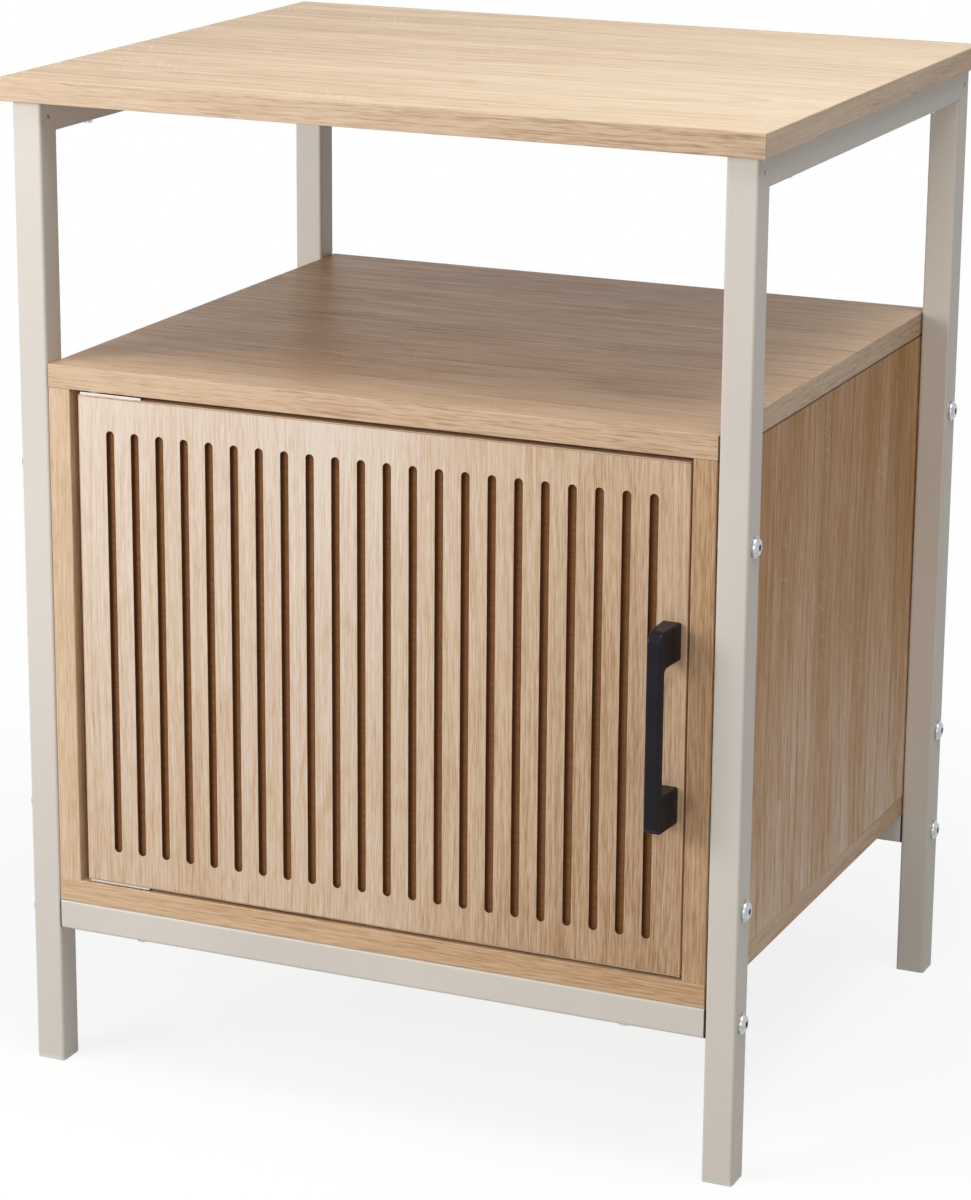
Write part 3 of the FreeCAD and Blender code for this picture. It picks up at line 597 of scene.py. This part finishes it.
@dataclass(frozen=True)
class OakDoor(Oak):
    """Oak laminate over a brown fibre core that shows in its grooves, with painted shade on their walls and
    corners.

    Attributes:
        face: place of the laminated front on Y.
        print_depth: thickness of the laminate.
        inner: place of the laminated inner face on Y.
        groove: depth of the grooves.
        width: width of the grooves.
        first: place of the first groove on X.
        pitch: distance from one groove to the next.
        core: colour of the cut fibre on a groove's floor.
        burn_and_shade: colour of the grooves' walls and floor corners: cutter burn, with painted shade
            darkening those recesses.
    """

    face: float = 0.0
    print_depth: float = 0.0003
    inner: float = 0.0
    groove: float = 0.003
    width: float = 0.0057
    first: float = -0.1807
    pitch: float = 0.01739
    core: Colour = (0.29, 0.132, 0.052)
    burn_and_shade: Colour = (0.105, 0.034, 0.008)

    def material(self) -> bpy.types.Material:
        """Make the door's material.

        Returns:
            The material, with the cut fibre in its grooves and painted shade on their walls and in their
            corners.
        """
        graph = Graph(self.name)
        colour, relief, roughness = self.draw(graph)
        axes = graph.position()
        depth = graph.minus(axes[1], self.face)
        cut = graph.times(graph.math("GREATER_THAN", depth, self.print_depth),
                          graph.math("LESS_THAN", axes[1], self.inner - self.print_depth))
        place = graph.vector(*axes)
        fluff = graph.noise(place, (900.0, 900.0, 700.0), 3.0)
        chatter = graph.noise(place, (60.0, 60.0, 420.0), 1.0)
        from_first = graph.minus(axes[0], self.first - self.pitch / 2)
        lane = graph.math("FRACT", graph.math("DIVIDE", from_first, self.pitch))
        from_wall = graph.minus(self.width / 2, graph.math("ABSOLUTE", graph.centred(lane, self.pitch)))
        # Painted shade: the walls take the dark burn colour and the floor darkens towards each wall, standing
        # in for the shade in the grooves; part of it is cutter burn.
        floor = graph.times(graph.span(depth, self.groove - 0.0008, self.groove - 0.0002),
                            graph.span(from_wall, 0.0, 0.0022, 0.1, 1.0))
        fibre = graph.mix(graph.times(floor, graph.span(fluff, 0.3, 0.7, 0.75, 1.0)),
                          rgba(self.burn_and_shade), rgba(self.core))
        fibre = graph.mix(graph.span(chatter, 0.35, 0.65, 0.0, 0.2), fibre, rgba(self.burn_and_shade))
        height = graph.total(graph.times(relief, graph.minus(1.0, cut)), graph.times(fluff, cut))
        return self.seal(graph, graph.mix(cut, colour, fibre), graph.math("MAXIMUM", roughness, cut),
                         graph.bump(height, Relief.FACE))


@dataclass(frozen=True)
class PowderCoat(Finish):
    """Warm grey powder coat with a fine orange peel, and a hairline along each welded mitre.

    Attributes:
        name: the material's name.
        colour: the coat's colour.
        middle: the frame's middle on Y.
        half_depth: half the frame's depth.
        rail_top: height of the rails' upper faces.
        cloud_share: brightness of the coat's darker clouds beside its colour.
    """

    name: str
    colour: Colour
    middle: float
    half_depth: float
    rail_top: float
    cloud_share: float = 0.94

    def material(self) -> bpy.types.Material:
        """Make the coat's material.

        Returns:
            The material, with its mitre lines.
        """
        graph = Graph(self.name)
        axes = graph.position()
        place = graph.vector(*axes)
        peel = graph.noise(place, (1300.0, 1300.0, 1300.0))
        cloud = graph.noise(place, (9.0, 9.0, 5.0), 3.0)
        outward = graph.apart(axes[1], self.middle)
        drop = graph.minus(self.rail_top, axes[2])
        seam = graph.math("ABSOLUTE", graph.total(outward, drop, -self.half_depth))
        hairline = graph.span(seam, 0.0001, 0.0005, 1.0, 0.0)
        deep = tuple(self.cloud_share * part for part in self.colour)
        colour = graph.mix(graph.span(cloud, 0.3, 0.7), rgba(deep), rgba(self.colour))
        colour = graph.mix(graph.times(hairline, 0.45), colour, rgba(WELD_COLOUR))
        height = graph.minus(peel, graph.times(hairline, 2.0))
        return graph.surface(Base_Color=colour, Roughness=graph.span(cloud, 0.25, 0.75, 0.40, 0.48),
                             IOR=RESIN_IOR, Normal=graph.bump(height, Relief.COAT))


@dataclass(frozen=True)
class PlatedSteel(Finish):
    """Plated steel with fine tumbling marks and small dull spots.

    Attributes:
        name: the material's name.
        colour: the plating's colour.
        dull: the colour of its dull spots.
        roughness: mean roughness.
    """

    name: str
    colour: Colour
    dull: Colour
    roughness: float

    def material(self) -> bpy.types.Material:
        """Make the plating's material.

        Returns:
            The material.
        """
        graph = Graph(self.name)
        place = graph.vector(*graph.position())
        spots = graph.noise(place, (420.0, 420.0, 420.0), 3.0)
        marks = graph.noise(place, (2600.0, 2600.0, 900.0))
        colour = graph.mix(graph.span(spots, 0.42, 0.68), rgba(self.colour), rgba(self.dull))
        roughness = graph.span(spots, 0.3, 0.7, 0.8 * self.roughness, 1.3 * self.roughness)
        return graph.surface(Base_Color=colour, Metallic=1.0, Roughness=roughness,
                             Normal=graph.bump(marks, Relief.PLATE))


@dataclass(frozen=True)
class Moulded(Finish):
    """Moulded or sprayed matte surface with a fine pebbled skin.

    Attributes:
        name: the material's name.
        colour: the usual colour.
        worn: colour of the slightly rubbed parts.
        roughness: mean roughness.
        pebbles: pebbles per metre.
        glow: share of light that enters the surface, for pale plastics.
        gloss: level of the surface's mirror shine.
        slant: added roughness where the surface is seen at a slant.
        unevenness: how far the roughness strays from its mean.
    """

    name: str
    colour: Colour
    worn: Colour
    roughness: float
    pebbles: float = 2200.0
    glow: float = 0.0
    gloss: float = 0.5
    slant: float = 0.0
    unevenness: float = 0.04

    def material(self) -> bpy.types.Material:
        """Make the skin's material.

        Returns:
            The material.
        """
        graph = Graph(self.name)
        place = graph.vector(*graph.position())
        skin = graph.noise(place, (self.pebbles,) * 3, 1.0)
        cloud = graph.noise(place, (35.0, 35.0, 35.0), 3.0)
        colour = graph.mix(graph.span(cloud, 0.35, 0.7), rgba(self.colour), rgba(self.worn))
        facing = graph.tree.nodes.new("ShaderNodeLayerWeight").outputs["Facing"]
        low, high = self.roughness - self.unevenness, self.roughness + self.unevenness
        roughness = graph.total(graph.span(cloud, 0.3, 0.7, low, high),
                                graph.span(facing, 0.4, 0.7, 0.0, self.slant))
        return graph.surface(Base_Color=colour, Roughness=roughness, IOR=PLASTIC_IOR,
                             Specular_IOR_Level=self.gloss, Subsurface_Weight=self.glow,
                             Subsurface_Scale=GLOW_DEPTH, Normal=graph.bump(skin, Relief.SKIN))


def paint(nodes: Iterable[str], finish: Finish) -> bpy.types.Material:
    """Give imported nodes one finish.

    Args:
        nodes: their names.
        finish: the finish.

    Returns:
        The finish's material.
    """
    material = finish.material()
    for name in nodes:
        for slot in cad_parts[name].material_slots:
            slot.material = material
        log.info("dressed %s in %s", name, material.name)
    return material


@dataclass
class TubeFrame:
    """Two side frames of square tube, two crossbars, their plugs and foot caps, and the weld beads.

    Attributes:
        middle: the frame's middle on Y.
        half_depth: half the frame's depth.
        rail_top: height of the rails' upper faces.
        tube: width of the square tube.
        leg_middle: distance of the legs' middles from the table's middle on X.
        bead: size of a weld bead in a frame corner.
        bead_width: length of a bead across the tube.
        sunk: depth to which a bead is bedded into the tubes.
        stations: steps along a bead.
        arc: points on the hollow face of a bead's cross-section.
        wave: height of a bead's ripples beside its size.
        turn: angle of the ripples from one station to the next.
        jitter: random part of the ripples.
        taper: size of a bead's ends beside its middle.
    """

    middle: float = 0.01125
    half_depth: float = 0.2045
    rail_top: float = 0.635
    tube: float = 0.020
    leg_middle: float = 0.2345
    bead: float = 0.0024
    bead_width: float = 0.0158
    sunk: float = 0.0001
    stations: int = 26
    arc: int = 9
    wave: float = 0.12
    turn: float = 2.4
    jitter: float = 0.06
    taper: float = 0.55

    def bead_size(self, station: int, ripple: random.Random) -> float:
        """Size of a bead at one of its stations.

        Args:
            station: number of the station.
            ripple: source of the ripples' random part.

        Returns:
            The size.
        """
        swell = 1.0 + self.wave * math.sin(self.turn * station) + self.jitter * (ripple.random() - 0.5)
        swell *= self.taper if station in (0, self.stations) else 1.0
        return self.bead * swell

    def weld_bead(self, side: Side, end: Side) -> bpy.types.Object:
        """Hollow fillet with a rippled face in the inner corner of one mitre.

        Args:
            side: left or right frame.
            end: front or rear corner.

        Returns:
            The bead's object.
        """
        ripple = random.Random(11 + 3 * side.value + 7 * end.value)
        corner = Vector((side.value * self.leg_middle - self.bead_width / 2,
                         self.middle + end.value * (self.half_depth - self.tube + self.sunk),
                         self.rail_top - self.tube + self.sunk))
        form = bmesh.new()
        rings = []
        for station in range(self.stations + 1):
            size = self.bead_size(station, ripple)
            along = Vector((self.bead_width * station / self.stations, 0.0, 0.0))
            ring = [form.verts.new(corner + along)]
            for point in range(self.arc):
                angle = math.pi / 2 * point / (self.arc - 1)
                inward = size * (1.0 - math.sin(angle))
                down = size * (1.0 - math.cos(angle))
                ring.append(form.verts.new(ring[0].co + Vector((0.0, -end.value * inward, -down))))
            rings.append(ring)
        for first, second in zip(rings, rings[1:]):
            for index in range(self.arc + 1):
                following = (index + 1) % (self.arc + 1)
                form.faces.new((first[index], second[index], second[following], first[following]))
        form.faces.new(rings[0])
        form.faces.new(list(reversed(rings[-1])))
        bmesh.ops.recalc_face_normals(form, faces=form.faces)
        for face in form.faces:
            face.smooth = len(face.verts) == 4
        name = f"weld_bead_{side.name.lower()}_{end.name.lower()}"
        mesh = bpy.data.meshes.new(name)
        form.to_mesh(mesh)
        form.free()
        bead = bpy.data.objects.new(name, mesh)
        bpy.context.scene.collection.objects.link(bead)
        return bead

    def build(self) -> list[bpy.types.Object]:
        """Make the four beads and let them ride on the stand.

        Returns:
            The beads' objects.
        """
        beads = [self.weld_bead(side, end) for side in Side for end in Side]
        for bead in beads:
            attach(bead, "stand")
            log.info("built %s", bead.name)
        return beads

    def dress(self, beads: Iterable[bpy.types.Object]) -> None:
        """Coat the tubes and the beads, and finish the plugs and caps.

        Args:
            beads: the weld beads.
        """
        corners = [f"{hand}_{place}" for hand in ("left", "right") for place in ("front", "rear")]
        tubes = [f"{corner}_leg" for corner in corners]
        tubes += ["left_top_rail", "right_top_rail", "front_crossbar", "rear_crossbar"]
        coat = paint(tubes, PowderCoat("frame_powder_coat", (0.68, 0.63, 0.565), self.middle,
                                       self.half_depth, self.rail_top))
        for bead in beads:
            bead.data.materials.append(coat)
        paint([f"{corner}_foot_cap" for corner in corners],
              Moulded("pale_foot_plastic", (0.66, 0.645, 0.61), (0.72, 0.71, 0.68), 0.38, 1500.0, 0.25))
        paint(["crossbar_end_plugs"],
              Moulded("black_plug_plastic", (0.014, 0.013, 0.013), (0.024, 0.023, 0.022), 0.5))


@dataclass
class TopBoard:
    """Table top with its edge strips.

    Attributes:
        middle: the board's middle on Y.
        half: half the distance between the inner faces of the front and rear strips.
    """

    middle: float = 0.01125
    half: float = 0.209

    def dress(self) -> None:
        """Finish the board and its strips."""
        board = Figure(heart=-0.085, depth=0.006, tilt=0.12, ring=0.012, lines=0.5, wander=0.016, bands=0.22,
                       flecks=0.35, rise=0.9, drift=-0.3, seed=3.0)
        paint(["top_board"],
              Oak("oak_top_print", Grain.LEVEL, board, dark=(0.44, 0.27, 0.135), mid=(0.65, 0.47, 0.285),
                  pale=(0.76, 0.60, 0.42), roughness=0.4, gloss=0.5))
        strip = replace(STRIP_FIGURE, pores=0.16, rise=-0.5, seed=9.0)
        paint(["top_board_edge_bands"],
              OakStrip("oak_top_strip", Grain.FRONT_STRIP, strip, mid=(0.625, 0.455, 0.312),
                       pale=(0.73, 0.572, 0.428), gloss=0.2, middle=self.middle, half=self.half))


@dataclass
class Cabinet:
    """Cabinet boards, their strips, the back and the fittings inside the corners.

    Attributes:
        middle: the cabinet's middle on Y.
        half: half the distance between the inner faces of the front and rear strips.
        joints: heights of the joints over the sides.
    """

    middle: float = 0.01125
    half: float = 0.2035
    joints: tuple[float, ...] = (0.456,)

    def dress(self) -> None:
        """Finish the boards, strips, back and corner fittings."""
        self.dress_boards()
        self.dress_strips()
        self.dress_fittings()

    def dress_boards(self) -> None:
        """Finish the shelf, the floor, both sides and the back."""
        # Painted light: the shelf is painted paler towards the front and the right, standing in for the light
        # that reaches under the top from there.
        shelf = Figure(heart=0.05, depth=0.02, tilt=0.04, ring=0.008, lines=0.3, flecks=0.25, rise=0.35,
                       drift=-0.45, seed=5.0)
        paint(["cabinet_top_panel"],
              Oak("oak_shelf_print", Grain.LEVEL, shelf, mid=(0.60, 0.385, 0.215), pale=(0.73, 0.525, 0.34),
                  roughness=0.38, gloss=0.14))
        base = Figure(heart=-0.03, depth=0.02, tilt=0.04, ring=0.008, seed=6.0)
        paint(["cabinet_bottom_panel"], Oak("oak_floor_print", Grain.LEVEL, base))
        left = Figure(heart=0.03, depth=0.02, tilt=0.09, ring=0.009, seed=7.0)
        paint(["cabinet_left_side"], Oak("oak_left_side_print", Grain.UPRIGHT_DEEP, left, seams=self.joints))
        # Painted reflection: the right side is painted paler and greyer towards the bottom, standing in for
        # the pale floor mirrored in its satin print.
        right = Figure(heart=-0.06, depth=-0.032, tilt=0.09, ring=0.011, lines=0.4, wander=0.016, bands=0.35,
                       flecks=0.2, rise=-1.8, seed=2.0)
        paint(["cabinet_right_side"],
              Oak("oak_right_side_print", Grain.UPRIGHT_DEEP, right, dark=(0.37, 0.172, 0.038),
                  mid=(0.57, 0.337, 0.167), pale=(0.80, 0.63, 0.50), roughness=0.5, gloss=0.2,
                  centre=(0.29, 0.0), seams=self.joints))
        back = Figure(heart=0.0, depth=0.02, tilt=0.07, ring=0.010, seed=12.0)
        paint(["cabinet_back_panel"], Oak("oak_back_print", Grain.UPRIGHT_WIDE, back, roughness=0.5))

    def dress_strips(self) -> None:
        """Finish the boards' edge strips."""
        shelf_edge = replace(STRIP_FIGURE, rise=-0.5, seed=15.0)
        paint(["cabinet_top_edge_bands"],
              OakStrip("oak_shelf_strip", Grain.FRONT_STRIP, shelf_edge, mid=(0.615, 0.43, 0.287), gloss=0.2,
                       middle=self.middle, half=self.half))
        base_edge = replace(STRIP_FIGURE, rise=-0.6, seed=16.0)
        paint(["cabinet_bottom_edge_bands"],
              OakStrip("oak_base_strip", Grain.FRONT_STRIP, base_edge, dark=(0.36, 0.18, 0.075),
                       mid=(0.61, 0.40, 0.235), gloss=0.2, middle=self.middle, half=self.half))
        stile = replace(STRIP_FIGURE, drift=-1.2, seed=17.0)
        paint(["cabinet_side_edge_bands"],
              Oak("oak_stile_strip", Grain.UPRIGHT_WIDE, stile, dark=(0.34, 0.175, 0.075),
                  mid=(0.575, 0.372, 0.215)))

    def dress_fittings(self) -> None:
        """Finish the dowels and cam locks of the corner joints."""
        dowel = replace(STRIP_FIGURE, seed=15.0)
        paint(["cabinet_dowels"],
              Oak("dowel_wood_grain", Grain.UPRIGHT_WIDE, dowel, dark=(0.48, 0.32, 0.18),
                  mid=(0.64, 0.48, 0.31), pale=(0.72, 0.57, 0.40), roughness=0.6))
        paint(["cam_locks"], PlatedSteel("cam_alloy_cast", (0.58, 0.58, 0.59), (0.45, 0.45, 0.46), 0.42))


@dataclass
class Door:
    """Grooved door with its strips and its bow handle.

    Attributes:
        front: place of the door's face on Y.
        inner: place of its inner face on Y.
        middle: the door's middle on Z.
        half: half the distance between the inner faces of the top and bottom strips.
    """

    front: float = -0.19225
    inner: float = -0.17725
    middle: float = 0.29215
    half: float = 0.16015

    def dress(self) -> None:
        """Finish the door, its strips and the handle."""
        # Painted sheen: the face is painted paler towards the top and the left and over its middle, standing
        # in for the reflection of the floor and lamps in the satin print.
        face = Figure(heart=-0.02, depth=0.004, tilt=0.10, ring=0.010, lines=0.14, wander=0.010, bands=0.10,
                      streaks=0.06, threads=0.36, hairs=0.08, flecks=0.05, rise=0.95, drift=-1.15, painted_sheen=0.22,
                      spread=0.13, seed=1.0)
        paint(["door_panel"],
              OakDoor("oak_door_print", Grain.UPRIGHT_WIDE, face, dark=(0.36, 0.195, 0.09),
                      mid=(0.62, 0.445, 0.30), pale=(0.77, 0.655, 0.56), gloss=0.2,
                      centre=(self.middle, 0.0), face=self.front, inner=self.inner))
        strip = replace(STRIP_FIGURE, streaks=0.12, threads=0.3, hairs=0.12, pores=0.25, seed=21.0)
        paint(["door_edge_bands"],
              OakStrip("oak_door_strip", Grain.LEVEL, strip, turned=Grain.UPRIGHT_DEEP, axis=2,
                       middle=self.middle, half=self.half))
        paint(["door_handle"],
              Moulded("matt_black_handle", (0.014, 0.013, 0.017), (0.016, 0.015, 0.019), 0.2, 2600.0,
                      gloss=0.11, slant=0.1))


@dataclass
class Hardware:
    """Bolts, screws, inserts, pivot hinges and the magnetic catch."""

    def dress(self) -> None:
        """Finish every fitting."""
        paint(["cabinet_bolts", "crossbar_bolts"],
              PlatedSteel("zinc_bolt", (0.52, 0.53, 0.545), (0.38, 0.385, 0.395), 0.27))
        paint(["crossbar_nuts", "threaded_inserts", "top_board_screws", "cabinet_floor_screws", "cam_bolts",
               "handle_screws", "catch_screws", "strike_screws", "strike_plate", "catch_pole_plates"],
              PlatedSteel("zinc_screw", (0.64, 0.65, 0.66), (0.48, 0.48, 0.49), 0.32))
        paint(["top_hinge_door_leaf", "top_hinge_frame_leaf", "bottom_hinge_door_leaf",
               "bottom_hinge_frame_leaf", "hinge_pins", "hinge_door_screws", "hinge_frame_screws"],
              PlatedSteel("bright_hinge_plate", (0.72, 0.67, 0.61), (0.60, 0.56, 0.51), 0.32))
        paint(["hinge_washers"],
              Moulded("white_nylon", (0.80, 0.79, 0.75), (0.84, 0.83, 0.80), 0.4, 1800.0, 0.2))
        paint(["catch_housing"],
              Moulded("white_catch_plastic", (0.74, 0.73, 0.70), (0.79, 0.78, 0.75), 0.45, 1800.0))
        paint(["catch_magnet"],
              Moulded("dark_ferrite", (0.035, 0.035, 0.036), (0.06, 0.06, 0.06), 0.55, 3000.0))


@dataclass(frozen=True)
class Lamp:
    """Soft square lamp.

    Attributes:
        name: its name.
        place: where it hangs.
        target: what it looks at.
        size: its width.
        watts: its power.
        colour: its colour.
    """

    name: str
    place: Place
    target: Place
    size: float
    watts: float
    colour: Colour = WHITE

    def hang(self) -> None:
        """Put the lamp in the scene."""
        light = bpy.data.lights.new(self.name, "AREA")
        light.shape = "SQUARE"
        light.size = self.size
        light.energy = self.watts
        light.color = self.colour
        lamp = bpy.data.objects.new(self.name, light)
        lamp.location = self.place
        lamp.rotation_euler = (Vector(self.target) - Vector(self.place)).to_track_quat("-Z", "Y").to_euler()
        bpy.context.scene.collection.objects.link(lamp)


@dataclass
class Studio:
    """White surroundings, a pale floor that keeps the shadow, and soft lamps.

    Attributes:
        ambient: strength of the light from all round.
        floor_reach: half the floor's width.
        floor_colour: the floor's own colour.
        shadow_share: how much of the floor's look near the table comes from the light on it.
        near: distance from the table's middle to which the shadow shows in full.
        far: distance at which it has faded out.
        lamps: the lamps.
    """

    ambient: float = 0.13
    floor_reach: float = 14.0
    floor_colour: Colour = (0.50, 0.495, 0.49)
    shadow_share: float = 0.15
    near: float = 0.30
    far: float = 1.00
    lamps: tuple[Lamp, ...] = (
        Lamp("front_lamp", (-1.00, -1.35, 0.92), (0.0, 0.0, 0.34), 0.9, 18.5),
        Lamp("overhead_lamp", (0.45, -0.40, 2.25), (0.0, 0.0, 0.4), 1.4, 32.0),
        Lamp("fill_lamp", (1.00, -1.85, 0.80), (0.0, 0.0, 0.33), 1.1, 6.8, (1.0, 0.955, 0.89)),
    )

    @staticmethod
    def seen_direct(tree: bpy.types.NodeTree) -> Socket:
        """Tell the rays that show the surroundings to the camera, also in gloss and through clear things.

        Args:
            tree: the nodes of the world or of the floor.

        Returns:
            Socket that is 1 for those rays and 0 for others.
        """
        path = tree.nodes.new("ShaderNodeLightPath")
        result = path.outputs["Is Camera Ray"]
        for kind in ("Is Glossy Ray", "Is Transmission Ray"):
            node = tree.nodes.new("ShaderNodeMath")
            node.operation = "MAXIMUM"
            tree.links.new(result, node.inputs[0])
            tree.links.new(path.outputs[kind], node.inputs[1])
            result = node.outputs[0]
        return result

    @staticmethod
    def blend(graph: Graph, share: Socket, first: Socket, second: Socket) -> Socket:
        """Mix of two shaders.

        Args:
            graph: the material's nodes.
            share: how much of the second shader, from 0 to 1.
            first: the first shader.
            second: the second shader.

        Returns:
            The mixed shader's socket.
        """
        node = graph.tree.nodes.new("ShaderNodeMixShader")
        for source, target in zip((share, first, second), node.inputs):
            graph.feed(source, target)
        return node.outputs[0]

    def surround(self) -> None:
        """Make the world white to look at and soft as a light."""
        world = bpy.data.worlds.new("studio")
        world.use_nodes = True
        tree = world.node_tree
        tree.nodes.clear()
        strength = tree.nodes.new("ShaderNodeMapRange")
        tree.links.new(self.seen_direct(tree), strength.inputs[0])
        strength.inputs[3].default_value = self.ambient
        strength.inputs[4].default_value = 1.0
        light = tree.nodes.new("ShaderNodeBackground")
        light.inputs["Color"].default_value = rgba(WHITE)
        tree.links.new(strength.outputs[0], light.inputs["Strength"])
        output = tree.nodes.new("ShaderNodeOutputWorld")
        tree.links.new(light.outputs[0], output.inputs[0])
        bpy.context.scene.world = world

    def floor_material(self) -> bpy.types.Material:
        """Make the floor plain and pale as a light, and white with a shadow to look at.

        Returns:
            The floor's material.
        """
        graph = Graph("pale_floor")
        nodes = graph.tree.nodes
        x, y, _ = graph.position()
        share = graph.span(graph.diagonal(x, y), self.near, self.far, self.shadow_share, 0.0)
        plain = nodes.new("ShaderNodeBsdfDiffuse")
        plain.inputs["Color"].default_value = rgba(self.floor_colour)
        lit = nodes.new("ShaderNodeBsdfDiffuse")
        lit.inputs["Color"].default_value = rgba(WHITE)
        white = nodes.new("ShaderNodeEmission")
        white.inputs["Strength"].default_value = 1.0
        shown = self.blend(graph, share, white.outputs[0], lit.outputs[0])
        either = self.blend(graph, self.seen_direct(graph.tree), plain.outputs[0], shown)
        graph.feed(either, nodes.new("ShaderNodeOutputMaterial").inputs[0])
        return graph.material

    def build(self) -> None:
        """Make the surroundings, the floor and the lamps."""
        self.surround()
        form = bmesh.new()
        bmesh.ops.create_grid(form, x_segments=1, y_segments=1, size=self.floor_reach)
        mesh = bpy.data.meshes.new("studio_floor")
        form.to_mesh(mesh)
        form.free()
        mesh.materials.append(self.floor_material())
        floor = bpy.data.objects.new("studio_floor", mesh)
        bpy.context.scene.collection.objects.link(floor)
        for lamp in self.lamps:
            lamp.hang()
            log.info("hung %s", lamp.name)


@dataclass(frozen=True)
class Viewpoint:
    """Camera at the photograph's viewing angle.

    Attributes:
        place: where it stands.
        azimuth: turn to the right round the table, in degrees.
        elevation: height above the horizon, in degrees.
        roll: turn about its own axis, in degrees.
        lens: focal length in millimetres.
        film: height of the picture on the film, in millimetres.
        reach: distance to which it sees.
    """

    place: Place = (0.9576, -2.1993, 0.9838)
    azimuth: float = 23.70
    elevation: float = 16.04
    roll: float = 0.43
    lens: float = 113.2
    film: float = 36.0
    reach: float = 100.0

    def build(self) -> None:
        """Make the camera and let the scene look through it."""
        data = bpy.data.cameras.new("front_view")
        data.lens = self.lens
        data.sensor_width = self.film
        data.clip_end = self.reach
        camera = bpy.data.objects.new("front_view", data)
        turn = (Matrix.Rotation(math.radians(self.azimuth), 4, "Z")
                @ Matrix.Rotation(math.radians(90.0 - self.elevation), 4, "X")
                @ Matrix.Rotation(math.radians(self.roll), 4, "Z"))
        camera.matrix_world = Matrix.Translation(self.place) @ turn
        bpy.context.scene.collection.objects.link(camera)
        bpy.context.scene.camera = camera


def main() -> None:
    """Build and dress the table, then the studio and the camera."""
    logging.basicConfig(level=logging.INFO, format="%(name)s: %(message)s")
    bpy.context.scene.view_settings.view_transform = "Standard"
    tubes = TubeFrame()
    tubes.dress(tubes.build())
    TopBoard().dress()
    Cabinet().dress()
    Door().dress()
    Hardware().dress()
    Studio().build()
    Viewpoint().build()


if __name__ == "__main__":
    main()
